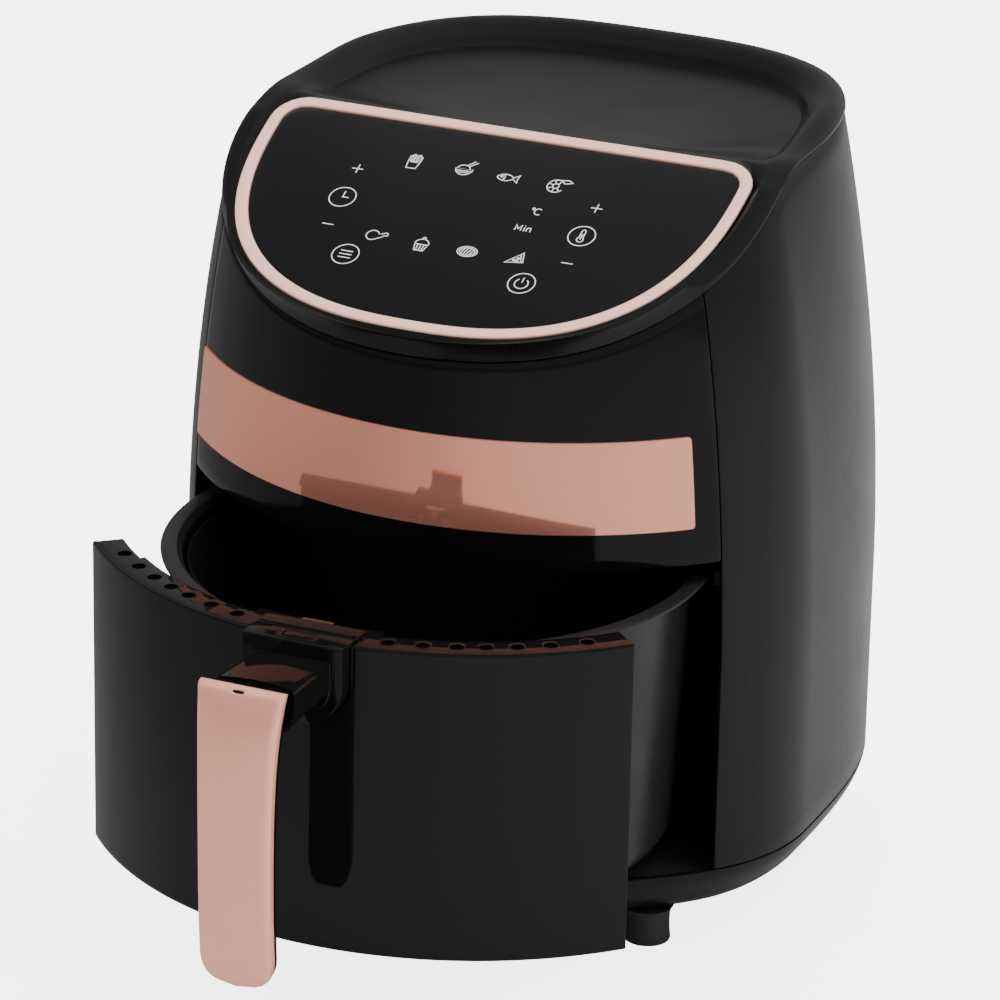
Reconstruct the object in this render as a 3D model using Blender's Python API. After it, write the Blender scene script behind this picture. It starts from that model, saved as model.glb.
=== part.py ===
"""Digital air fryer with a pull-out pan drawer, modelled as separate sub-parts.

Units are metres, +Z is up and the drawer opens towards -Y. The fryer stands on
z = 0 and is centred on the origin with its drawer pulled partly out.
"""
import math

import bmesh
import bpy
from mathutils import Matrix, Vector

# General fits
GAP = 0.0003                 # clearance between pieces that touch
WALL = 0.0025                # plastic shell thickness
SHEET = 0.0012               # sheet metal thickness
SCREW_R = 0.0018             # small screw shank

# Housing outline, seen from above
FRONT_R = 0.1534             # radius of the bowed front
FRONT_ANGLE = math.radians(48.6)
FRONT_CENTRE_Y = 0.0568
HALF_WIDTH = 0.1339
BACK_DEPTH = 0.1603          # from the widest line to the back
BACK_POWER = 3.0             # squareness of the back

# Housing heights
FOOT_HEIGHT = 0.0122
FOOT_X = 0.0857
FOOT_FRONT_Y = -0.0403
FOOT_REAR_Y = 0.110
FOOT_R = 0.0095
BASE_BOTTOM_Z = 0.0125
BASE_TOP_Z = 0.0375
BASE_POWER = 1.25            # 1 is a quarter ellipse, 2 a straight cone
BASE_INSET = 0.029           # how far the bowl draws in under the fryer
TAPER_START_Z = 0.118
RIM_Z = 0.3148               # crest of the raised back rim
TAPER_WIDTH = 0.1532         # share of the width lost at the rim
TAPER_FRONT = 0.035          # extra share lost towards the front
TAPER_POWER = 1.953
LEAN_FRONT = 0.0065
LEAN_BACK = 0.0116
CREASE_LOW_Z = 0.2483        # lower edge of the top cover at the front
CREASE_HIGH_Z = 0.3093       # and at the back
CREASE_START_Y = -0.110
CREASE_LENGTH = 0.140

# Fascia and its trim band
OPENING_TOP_Z = 0.1682
BAND_BOTTOM_Z = 0.1833
BAND_TOP_Z = 0.2204
BAND_RIGHT = math.radians(44.4)
BAND_LEFT = math.radians(48.1)    # the band runs on to the left seam
BAND_THICKNESS = 0.0008

# Control panel, a D-shaped plate on a sloping seat
PANEL_SLOPE = math.radians(25.76)
PANEL_Y = 0.001              # widest line of the panel
PANEL_Z = 0.3046
PANEL_HALF_WIDTH = 0.103
PANEL_DROP = 0.1035          # from the widest line down the slope
PANEL_RISE = 0.0121          # and up to the straight edge
PANEL_POWER = 2.51
PANEL_CORNER = 0.0142
RING_WIDTH = 0.005
PANEL_THICKNESS = 0.0022
COVER_LIP = 0.0007            # height of the cover above its joint where the rim is lowest
RIM_START_Y = 0.035          # where the rim begins to rise above the side shells
RIM_RISE_LENGTH = 0.060
RIM_WIDTH = 0.019
RIM_LEAST = 0.0016           # the rim is never thinner than this
RIM_DROP = 0.004
VALLEY_DEPTH = 0.004
COVER_PROUD = 0.0010         # how far the cover's lip overhangs the fascia

# Drawer
DRAWER_OPEN = 0.0856         # how far it stands out
DRAWER_FRONT_BOTTOM_Z = 0.0403
DRAWER_TOP_Z = 0.1661
DRAWER_FRONT_THICKNESS = 0.0020
DRAWER_END_GAP = 0.0009
LEDGE_WIDTH = 0.0146
LEDGE_THICKNESS = 0.0020
LEDGE_ANGLE = math.radians(46.8)
BRIDGE_ANGLE = math.radians(11.0)    # the wider middle of the ledge, behind the handle bracket
BRIDGE_WIDTH = 0.0045
VENT_RADIUS = 0.1450         # pitch radius of the vent holes in the ledge
VENT_HOLE_R = 0.0027
VENT_ANGLES = [math.radians(a) for a in (12.5, 17.7, 22.7, 27.0, 31.6, 36.6, 42.2)]
PAN_R = 0.1085               # outside of the flange
PAN_FLANGE = 0.0064
PAN_TOP_Z = 0.1600
PAN_BOTTOM_Z = 0.0425
PAN_DRAFT = 0.006
PAN_CENTRE_Y = -0.059
BASKET_CLEARANCE = 0.0018

# Handle
BRACKET_HALF_WIDTH = 0.0208
BRACKET_TOP_Z = 0.1675
BRACKET_DROP = 0.0325
BRACKET_PROUD = 0.0058
BRACKET_DEPTH = 0.0112
BRACKET_FIT = 0.0006
STEM_HALF_WIDTH = 0.0166
STEM_TOP_Z = 0.1633
STEM_THICKNESS = 0.0135
GRIP_REACH = 0.0560          # from the drawer front to the face of the grip
GRIP_HALF_WIDTH = 0.0149
GRIP_FLARE = 0.0028
GRIP_TOP_Z = 0.1640
GRIP_BOTTOM_Z = 0.0450
GRIP_COVER_DEPTH = 0.0060
GRIP_BACK_DEPTH = 0.0085
BUTTON_HALF_WIDTH = 0.0061
BUTTON_LENGTH = 0.0060
PLATE_BACK_Y = -0.1668       # back of the bracket's plate
ROD_R = 0.0009               # the latch hook turns on this rod
ROD_Y = -0.1724
ROD_Z = 0.1600

# Cooking chamber
CAVITY_CLEARANCE = 0.0030
CAVITY_WALL = 0.0020
CAVITY_FRONT_Y = -0.032
DOME_R = 0.099
DOME_HEIGHT = 0.038
HEATER_R = 0.0030
FAN_R = 0.046
FAN_HEIGHT = 0.010
SHAFT_R = 0.0030
MOTOR_R = 0.027
MOTOR_HEIGHT = 0.030
SWITCH_X = 0.088             # the switch lever hangs just behind the shut drawer's ledge
SWITCH_Y = -0.0474

# Rear
VENT_HALF_WIDTH = 0.040
VENT_LOW_Z = 0.190
VENT_HIGH_Z = 0.236
GLAND_X = 0.035
GLAND_Z = 0.062
GLAND_R = 0.0065

STATIONS = 40                # sections round the housing


def clear_scene():
    for item in list(bpy.data.objects):
        bpy.data.objects.remove(item, do_unlink=True)


def make_material(name, colour, roughness, metallic=0.0):
    material = bpy.data.materials.new(name)
    material.use_nodes = True
    shader = material.node_tree.nodes["Principled BSDF"]
    shader.inputs["Base Color"].default_value = (*colour, 1.0)
    shader.inputs["Roughness"].default_value = roughness
    shader.inputs["Metallic"].default_value = metallic
    return material


def add_empty(name, location, parent=None):
    empty = bpy.data.objects.new(name, None)
    empty.location = location
    empty.parent = parent
    bpy.context.collection.objects.link(empty)
    return empty


def origin_of(parent):
    """Place of an empty in the fryer's own frame."""
    place = Vector((0.0, 0.0, 0.0))
    while parent is not None and parent.parent is not None:
        place += parent.location
        parent = parent.parent
    return place


def add_part(name, bm, material, parent, smooth=30.0):
    """Turn a bmesh given in the fryer's frame into a named object under its parent."""
    bmesh.ops.recalc_face_normals(bm, faces=bm.faces)
    bmesh.ops.translate(bm, verts=bm.verts, vec=-origin_of(parent))
    mesh = bpy.data.meshes.new(name)
    bm.to_mesh(mesh)
    bm.free()
    mesh.shade_smooth()
    mesh.set_sharp_from_angle(angle=math.radians(smooth))
    mesh.materials.append(material)
    part = bpy.data.objects.new(name, mesh)
    part.parent = parent
    bpy.context.collection.objects.link(part)
    return part


def loft(sections, closed=False, wall=False):
    """Skin a run of sections; a wall's end faces are strips between its outer and inner edge."""
    bm = bmesh.new()
    rings = [[bm.verts.new(p) for p in section] for section in sections]
    count = len(rings[0])
    pairs = list(zip(rings, rings[1:]))
    if closed:
        pairs.append((rings[-1], rings[0]))
    for a, b in pairs:
        for k in range(count):
            n = (k + 1) % count
            bm.faces.new((a[k], a[n], b[n], b[k]))
    if wall:
        for ring in (rings[0], rings[-1]):
            for k in range(count // 2 - 1):
                bm.faces.new((ring[k], ring[k + 1], ring[count - 2 - k], ring[count - 1 - k]))
    elif not closed:
        bm.faces.new(rings[0])
        bm.faces.new(rings[-1])
    return bm


def turned(profile, centre, steps=40, axis="Z"):
    """Turn an open (radius, height) profile whose ends lie on the axis, or a closed ring profile."""
    bm = bmesh.new()
    solid = profile[0][0] == 0.0
    rows = []
    for radius, height in profile:
        if radius == 0.0:
            rows.append([bm.verts.new((0.0, 0.0, height))])
            continue
        angles = [2.0 * math.pi * i / steps for i in range(steps)]
        rows.append([bm.verts.new((radius * math.cos(a), radius * math.sin(a), height)) for a in angles])
    pairs = list(zip(rows, rows[1:])) if solid else list(zip(rows, rows[1:] + rows[:1]))
    for low, high in pairs:
        for i in range(steps):
            j = (i + 1) % steps
            corners = [low[i % len(low)], low[j % len(low)], high[j % len(high)], high[i % len(high)]]
            unique = list(dict.fromkeys(corners))
            bm.faces.new(unique)
    if axis == "Y":
        bmesh.ops.rotate(bm, verts=bm.verts, matrix=Matrix.Rotation(math.radians(-90.0), 3, "X"))
    if axis == "X":
        bmesh.ops.rotate(bm, verts=bm.verts, matrix=Matrix.Rotation(math.radians(90.0), 3, "Y"))
    bmesh.ops.translate(bm, verts=bm.verts, vec=centre)
    return bm


def rod(radius, start, length, axis="Z", steps=20, chamfer=0.0003):
    """A plain pin with small chamfers, from start along an axis."""
    profile = [(0.0, 0.0), (radius - chamfer, 0.0), (radius, chamfer)]
    profile += [(radius, length - chamfer), (radius - chamfer, length), (0.0, length)]
    return turned(profile, start, steps, axis)


def box(low, high, bevel=0.0):
    bm = bmesh.new()
    bmesh.ops.create_cube(bm, size=1.0)
    size = [high[i] - low[i] for i in range(3)]
    middle = [(high[i] + low[i]) / 2.0 for i in range(3)]
    bmesh.ops.scale(bm, verts=bm.verts, vec=size)
    bmesh.ops.translate(bm, verts=bm.verts, vec=middle)
    if bevel > 0.0:
        bmesh.ops.bevel(bm, geom=list(bm.edges), offset=bevel, segments=2, affect="EDGES", profile=0.5)
    return bm


def sweep_tube(points, radius, sides=8):
    """A round bar that follows a list of points."""
    path = [Vector(point) for point in points]
    side = Vector((0.0, 0.0, 1.0))
    sections = []
    for i, point in enumerate(path):
        along = (path[min(i + 1, len(path) - 1)] - path[max(i - 1, 0)]).normalized()
        if abs(along.dot(side)) > 0.95:
            side = Vector((1.0, 0.0, 0.0))
        across = along.cross(side).normalized()
        upward = across.cross(along)
        angles = [2.0 * math.pi * k / sides for k in range(sides)]
        sections.append([point + radius * (math.cos(a) * across + math.sin(a) * upward) for a in angles])
        side = upward
    return loft(sections)


def cutter(name, bm, parent):
    """A hidden tool body that a Boolean subtracts."""
    tool = add_part(name, bm, CUTTER_MATERIAL, parent)
    tool.hide_render = True
    tool.hide_viewport = False
    tool.display_type = "WIRE"
    return tool


def cut(part, tools):
    for tool in tools:
        modifier = part.modifiers.new(tool.name, "BOOLEAN")
        modifier.operation = "DIFFERENCE"
        modifier.solver = "EXACT"
        modifier.object = tool


def smootherstep(value):
    t = min(max(value, 0.0), 1.0)
    return t * t * t * (t * (6.0 * t - 15.0) + 10.0)


def plan_point(s):
    """Point of the housing outline: s = 0 at the nose, 1 at the seam, 2 at the widest line, 3 at the back."""
    seam_x = FRONT_R * math.sin(FRONT_ANGLE)
    seam_y = FRONT_CENTRE_Y - FRONT_R * math.cos(FRONT_ANGLE)
    side_r = (HALF_WIDTH - seam_x) / (1.0 - math.sin(FRONT_ANGLE))
    wide_y = seam_y + side_r * math.cos(FRONT_ANGLE)
    t = abs(s)
    if t <= 1.0:
        x = FRONT_R * math.sin(FRONT_ANGLE * t)
        y = FRONT_CENTRE_Y - FRONT_R * math.cos(FRONT_ANGLE * t)
    elif t <= 2.0:
        heading = FRONT_ANGLE + (math.pi / 2.0 - FRONT_ANGLE) * (t - 1.0)
        x = seam_x + side_r * (math.sin(heading) - math.sin(FRONT_ANGLE))
        y = seam_y + side_r * (math.cos(FRONT_ANGLE) - math.cos(heading))
    else:
        turn = math.pi / 2.0 * (t - 2.0)
        x = HALF_WIDTH * max(math.cos(turn), 0.0) ** (2.0 / BACK_POWER)
        y = wide_y + BACK_DEPTH * math.sin(turn) ** (2.0 / BACK_POWER)
    return (math.copysign(x, s), y)


FRONT_Y = plan_point(0.0)[1]
BACK_Y = plan_point(3.0)[1]


def plan_normal(s):
    """Outward normal of the housing outline."""
    t = abs(s)
    if t <= 2.0:
        heading = FRONT_ANGLE * t if t <= 1.0 else FRONT_ANGLE + (math.pi / 2.0 - FRONT_ANGLE) * (t - 1.0)
        return Vector((math.copysign(math.sin(heading), s), -math.cos(heading)))
    x, y = plan_point(t)
    wide_y = BACK_Y - BACK_DEPTH
    power = BACK_POWER - 1.0
    normal = Vector(((x / HALF_WIDTH) ** power / HALF_WIDTH, ((y - wide_y) / BACK_DEPTH) ** power / BACK_DEPTH))
    normal.normalize()
    return Vector((math.copysign(normal.x, s), normal.y))


def tapered(x, y, z):
    """Draw a point of the outline in to the housing's taper at height z."""
    taper = max(0.0, (z - TAPER_START_Z) / (CREASE_HIGH_Z - TAPER_START_Z)) ** TAPER_POWER
    depth = (y - FRONT_Y) / (BACK_Y - FRONT_Y)
    narrow = TAPER_WIDTH * taper + TAPER_FRONT * (taper * (1.0 - depth)) ** 2
    return (x * (1.0 - narrow), y + LEAN_FRONT * taper * (1.0 - depth) - LEAN_BACK * taper * depth)


def body_point(s, z, inset=0.0):
    """Point of the housing's outer face at height z, moved inwards by inset."""
    x, y = tapered(*plan_point(s), z)
    normal = plan_normal(s)
    return Vector((x - normal.x * inset, y - normal.y * inset, z))


def crease_z(y):
    """Height of the joint between the side shells and the top cover."""
    share = min(1.0, max(0.0, (y - CREASE_START_Y) / CREASE_LENGTH))
    return CREASE_LOW_Z + (CREASE_HIGH_Z - CREASE_LOW_Z) * share * share * (3.0 - 2.0 * share)


def wall_section(s, low, inset, thickness, levels, top=None):
    """Closed section of a shell wall at one station of the outline."""
    high = crease_z(plan_point(s)[1]) - GAP if top is None else top
    heights = [low + (high - low) * k / (levels - 1) for k in range(levels)]
    outer = [body_point(s, z, inset) for z in heights]
    inner = [body_point(s, z, inset + thickness) for z in reversed(heights)]
    return outer + inner


def spread(low, high, count):
    return [low + (high - low) * k / (count - 1) for k in range(count)]


def build_shells(root):
    """Wrap-round housing, front fascia, trim band."""
    seam = 1.0 + 0.006
    half = spread(seam, 2.0, 7) + spread(2.0, 3.0, 18)[1:]
    stations = half + [-s for s in reversed(half[:-1])]
    sections = [wall_section(s, BASE_TOP_Z + GAP, 0.0, WALL, 9) for s in stations]
    housing = add_part("outer_housing", loft(sections, wall=True), GLOSS_BLACK, root)
    vent = cutter("vent_cutter", box(
        (-VENT_HALF_WIDTH, BACK_Y - 0.035, VENT_LOW_Z),
        (VENT_HALF_WIDTH, BACK_Y + 0.02, VENT_HIGH_Z)), root)
    gland = cutter("gland_cutter", rod(GLAND_R + GAP, (GLAND_X, BACK_Y - 0.03, GLAND_Z), 0.05, "Y", 24), root)
    cut(housing, [vent, gland])

    edge = 1.0 - 0.0025
    sections = [wall_section(s, OPENING_TOP_Z, 0.0, WALL, 6) for s in spread(-edge, edge, 25)]
    add_part("front_fascia", loft(sections, wall=True), GLOSS_BLACK, root)

    sections = []
    for s in spread(-BAND_LEFT / FRONT_ANGLE, BAND_RIGHT / FRONT_ANGLE, 25):
        inner = GAP * -1.0
        outer = inner - BAND_THICKNESS
        lip = BAND_THICKNESS * 0.4
        heights = [BAND_BOTTOM_Z + lip, (BAND_BOTTOM_Z + BAND_TOP_Z) / 2.0, BAND_TOP_Z - lip]
        front = [body_point(s, z, outer) for z in heights]
        back = [body_point(s, z, inner) for z in (BAND_TOP_Z, (BAND_BOTTOM_Z + BAND_TOP_Z) / 2.0, BAND_BOTTOM_Z)]
        sections.append(front + back)
    add_part("trim_band", loft(sections, wall=True), ROSE_GOLD, root)


def panel_outline(inset, count):
    """D outline in the panel's own plane, moved inwards, as (across, up the slope) points by angle."""
    half = PANEL_HALF_WIDTH - inset
    drop = PANEL_DROP - inset
    rise = PANEL_RISE - inset
    corner = max(PANEL_CORNER - inset, 0.004)
    pieces = [(0.0, rise), (half - corner, rise)]
    for k in range(1, 9):
        a = math.pi / 2.0 * (1.0 - k / 9.0)
        pieces.append((half - corner + corner * math.cos(a), rise - corner + corner * math.sin(a)))
    for k in range(25):
        a = math.pi / 2.0 * k / 24.0
        x = half * math.cos(a) ** (2.0 / PANEL_POWER)
        start = min(rise - corner, 0.0)
        pieces.append((x, start - (drop + start) * math.sin(a) ** (2.0 / PANEL_POWER)))
    full = [Vector(p) for p in pieces] + [Vector((-x, v)) for x, v in reversed(pieces[1:-1])]
    hub = Vector((0.0, -0.035))
    result = []
    for k in range(count):
        a = math.pi / 2.0 - 2.0 * math.pi * k / count
        ray = Vector((math.cos(a), math.sin(a)))
        result.append(hit_outline(full, hub, ray))
    return result


def hit_outline(outline, hub, ray):
    """Where a ray from the hub crosses a closed outline."""
    best = None
    for i, start in enumerate(outline):
        end = outline[(i + 1) % len(outline)]
        edge = end - start
        cross = ray.x * edge.y - ray.y * edge.x
        if abs(cross) < 1e-12:
            continue
        offset = start - hub
        distance = (offset.x * edge.y - offset.y * edge.x) / cross
        share = (offset.x * ray.y - offset.y * ray.x) / cross
        if distance > 0.0 and -1e-6 <= share <= 1.0 + 1e-6:
            best = hub + ray * distance
    return best


def on_slope(point, height=0.0):
    """A point of the panel's plane, lifted along the plane's normal."""
    c, s = math.cos(PANEL_SLOPE), math.sin(PANEL_SLOPE)
    return Vector((point[0], PANEL_Y + point[1] * c - height * s, PANEL_Z + point[1] * s + height * c))


def rim_z(y):
    """Crest height of the top cover above the outline: it follows the panel, then rises to the back rim."""
    slope = PANEL_Z + min(y - PANEL_Y, 0.0) * math.tan(PANEL_SLOPE)
    rise = smootherstep((y - RIM_START_Y) / RIM_RISE_LENGTH)
    lifted = crease_z(y) + COVER_LIP + (RIM_Z - CREASE_HIGH_Z - COVER_LIP) * rise
    blend = 0.003
    gap = slope - lifted
    return lifted + 0.5 * (gap + math.sqrt(gap * gap + blend * blend))


def build_top(root):
    """Top cover with its rim and valley, the trim ring and the touch panel."""
    count = 48
    seat = panel_outline(-GAP, count)
    window = panel_outline(RING_WIDTH + 0.004, count)
    outline = [Vector(plan_point(s)) for s in spread(-3.0, 3.0, 241)[:-1]]
    hub = Vector((0.0, PANEL_Y - 0.035 * math.cos(PANEL_SLOPE)))
    sections = []
    for k in range(count):
        lip = on_slope(seat[k])
        ray = Vector((lip.x - hub.x, lip.y - hub.y)).normalized()
        plan = hit_outline(outline, hub, ray)
        low = crease_z(plan.y) + GAP
        crest = rim_z(plan.y)
        edge = Vector((*tapered(plan.x, plan.y, low), low))
        outward = Vector((edge.x - hub.x, edge.y - hub.y, 0.0)).normalized()
        edge += outward * COVER_PROUD
        room = (edge - lip).dot(outward)
        step = smootherstep((room - 0.060) / 0.035)
        shoulder = min(0.0070, room * 0.45, room - 2.0 * RIM_LEAST)
        wide = min(RIM_WIDTH, room * 0.60, room - RIM_LEAST)

        def across(distance, height):
            return Vector((edge.x, edge.y, height)) - outward * distance

        rise = crest - low
        lean = (0.60, 0.95) if shoulder < 0.0 else (0.11, 0.43)
        slope_end = crest - RIM_DROP * smootherstep((room - 0.010) / 0.05)
        base_in = wide + 0.002 * step + 0.03 * max(wide, 0.0)
        base = across(min(base_in, room - 0.4 * RIM_LEAST), slope_end - VALLEY_DEPTH * step)
        top = [edge, across(shoulder * lean[0], low + 0.4 * rise), across(shoulder * lean[1], low + 0.8 * rise)]
        top += [across(shoulder, crest), across(wide, slope_end), base]
        for share, sink in ((0.30, 0.5), (0.62, 0.35), (0.88, 0.02)):
            point = base.lerp(lip, share)
            point.z -= VALLEY_DEPTH * sink * step
            top.append(point)
        top.append(lip.copy())
        depth = PANEL_THICKNESS + GAP
        bottom = [on_slope(seat[k], -depth), on_slope(window[k], -depth), on_slope(window[k], -depth - WALL)]
        under = on_slope(seat[k], -depth - WALL)
        under.z = min(under.z, lip.z - PANEL_THICKNESS - WALL)
        inner_edge = across(max(RIM_LEAST, min(0.0040, room * 0.5)), low)
        bottom.append(under.lerp(inner_edge, 0.02))
        for share in (0.5, 0.85):
            point = under.lerp(Vector((inner_edge.x, inner_edge.y, slope_end - WALL)), share)
            if room < 0.0100:
                point = under.lerp(inner_edge, share)
            point.z -= (VALLEY_DEPTH * 1.6 + 0.001) * step
            bottom.append(point)
        bottom.append(inner_edge)
        sections.append(top + bottom)
    add_part("top_cover", loft(sections, closed=True), GLOSS_BLACK, root)

    outer = panel_outline(0.0, count)
    inner = panel_outline(RING_WIDTH, count)
    sections = []
    bevel = 0.0005
    proud = 0.0008
    for k in range(count):
        out, inn = outer[k], inner[k]
        toward = (inn - out).normalized() * bevel
        sections.append([
            on_slope(out, -PANEL_THICKNESS), on_slope(out, proud - bevel),
            on_slope(out + toward, proud), on_slope(inn - toward, proud),
            on_slope(inn, proud - bevel), on_slope(inn, -PANEL_THICKNESS)])
    add_part("panel_trim_ring", loft(sections, closed=True), ROSE_GOLD, root)

    plate = panel_outline(RING_WIDTH + GAP, count)
    brow = panel_outline(RING_WIDTH + GAP + 0.0004, count)
    sections = [[on_slope(p, -PANEL_THICKNESS) for p in plate],
                [on_slope(p, -0.0002) for p in plate],
                [on_slope(p, 0.0002) for p in brow]]
    add_part("touch_panel", loft(sections), PANEL_GLASS, root)

    board_low = -(PANEL_THICKNESS + WALL + 0.0115)
    board = box((-0.070, -0.075, board_low), (0.070, -0.012, board_low + 0.0016))
    place_on_slope(board)
    add_part("control_board", board, BOARD_GREEN, root)
    module = box((-0.026, -0.052, board_low + 0.0016 + GAP), (0.026, -0.034, -(PANEL_THICKNESS + 0.0012)), 0.0004)
    place_on_slope(module)
    add_part("display_module", module, MATTE_BLACK, root)


def place_on_slope(bm):
    bmesh.ops.rotate(bm, verts=bm.verts, matrix=Matrix.Rotation(PANEL_SLOPE, 3, "X"))
    bmesh.ops.translate(bm, verts=bm.verts, vec=(0.0, PANEL_Y, PANEL_Z))


def build_base(root):
    """Bowl-shaped base, deck, feet and their screws."""
    stations = spread(-3.0, 3.0, STATIONS + 1)[:-1]

    def bowl(inset, height):
        return [body_point(s, BASE_TOP_Z, inset).xy.to_3d() + Vector((0.0, 0.0, height)) for s in stations]

    def bowl_rings(offset, drop, count):
        """Rings of the bowl from its rim down, moved inwards by offset."""
        rings = []
        for angle in spread(0.0, math.pi / 2.0, count):
            inset = BASE_INSET * (1.0 - math.cos(angle) ** BASE_POWER)
            rings.append(bowl(offset + inset, BASE_TOP_Z - drop * math.sin(angle) ** BASE_POWER))
        return rings

    drop = BASE_TOP_Z - BASE_BOTTOM_Z
    rings = bowl_rings(0.0, drop, 7)
    inside = bowl_rings(WALL, drop - WALL, 5)
    sections = list(reversed(inside)) + rings
    tray = add_part("base_tray", loft(sections), GLOSS_BLACK, root)

    deck_outline = bowl(WALL + GAP, 0.0)
    deck_low = BASE_TOP_Z - 0.0045
    deck_sections = [[p + Vector((0.0, 0.0, z)) for p in deck_outline] for z in (deck_low, BASE_TOP_Z - 0.0015)]
    deck_sections = [[Vector((p.x * 0.985, p.y * 0.985 + 0.0005, p.z)) for p in row] for row in deck_sections]
    add_part("drawer_deck", loft(deck_sections), MATTE_BLACK, root)

    bowl_tool = cutter("bowl_tool", loft(bowl_rings(-GAP, drop + GAP, 7)), root)
    tools = []
    for side, x in (("left", -FOOT_X), ("right", FOOT_X)):
        for end, y in (("front", FOOT_FRONT_Y), ("rear", FOOT_REAR_Y)):
            place = Vector((x, y, 0.0))
            recess = SCREW_R + 0.0018
            profile = [
                (SCREW_R + GAP, 0.006), (recess, 0.006), (recess, 0.0), (FOOT_R - 0.0006, 0.0),
                (FOOT_R, 0.0006), (FOOT_R - 0.0006, FOOT_HEIGHT - 0.002), (FOOT_R + 0.0012, FOOT_HEIGHT + 0.004),
                (FOOT_R + 0.0012, FOOT_HEIGHT + 0.009), (SCREW_R + GAP, FOOT_HEIGHT + 0.009)]
            foot = add_part("foot_%s_%s" % (end, side), turned(profile, place, 16), RUBBER, root)
            cut(foot, [bowl_tool])
            head = recess - GAP
            screw = [
                (0.0, 0.0032), (head, 0.0032), (head, 0.006 - GAP), (SCREW_R, 0.006 - GAP),
                (SCREW_R, FOOT_HEIGHT + WALL + 0.003), (0.0, FOOT_HEIGHT + WALL + 0.003)]
            add_part("foot_screw_%s_%s" % (end, side), turned(screw, place, 12), STEEL, root)
            tools.append(cutter("tray_hole_%s_%s" % (end, side),
                                rod(SCREW_R + GAP, place + Vector((0.0, 0.0, 0.008)), 0.012, "Z", 12), root))
    cut(tray, tools)


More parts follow.
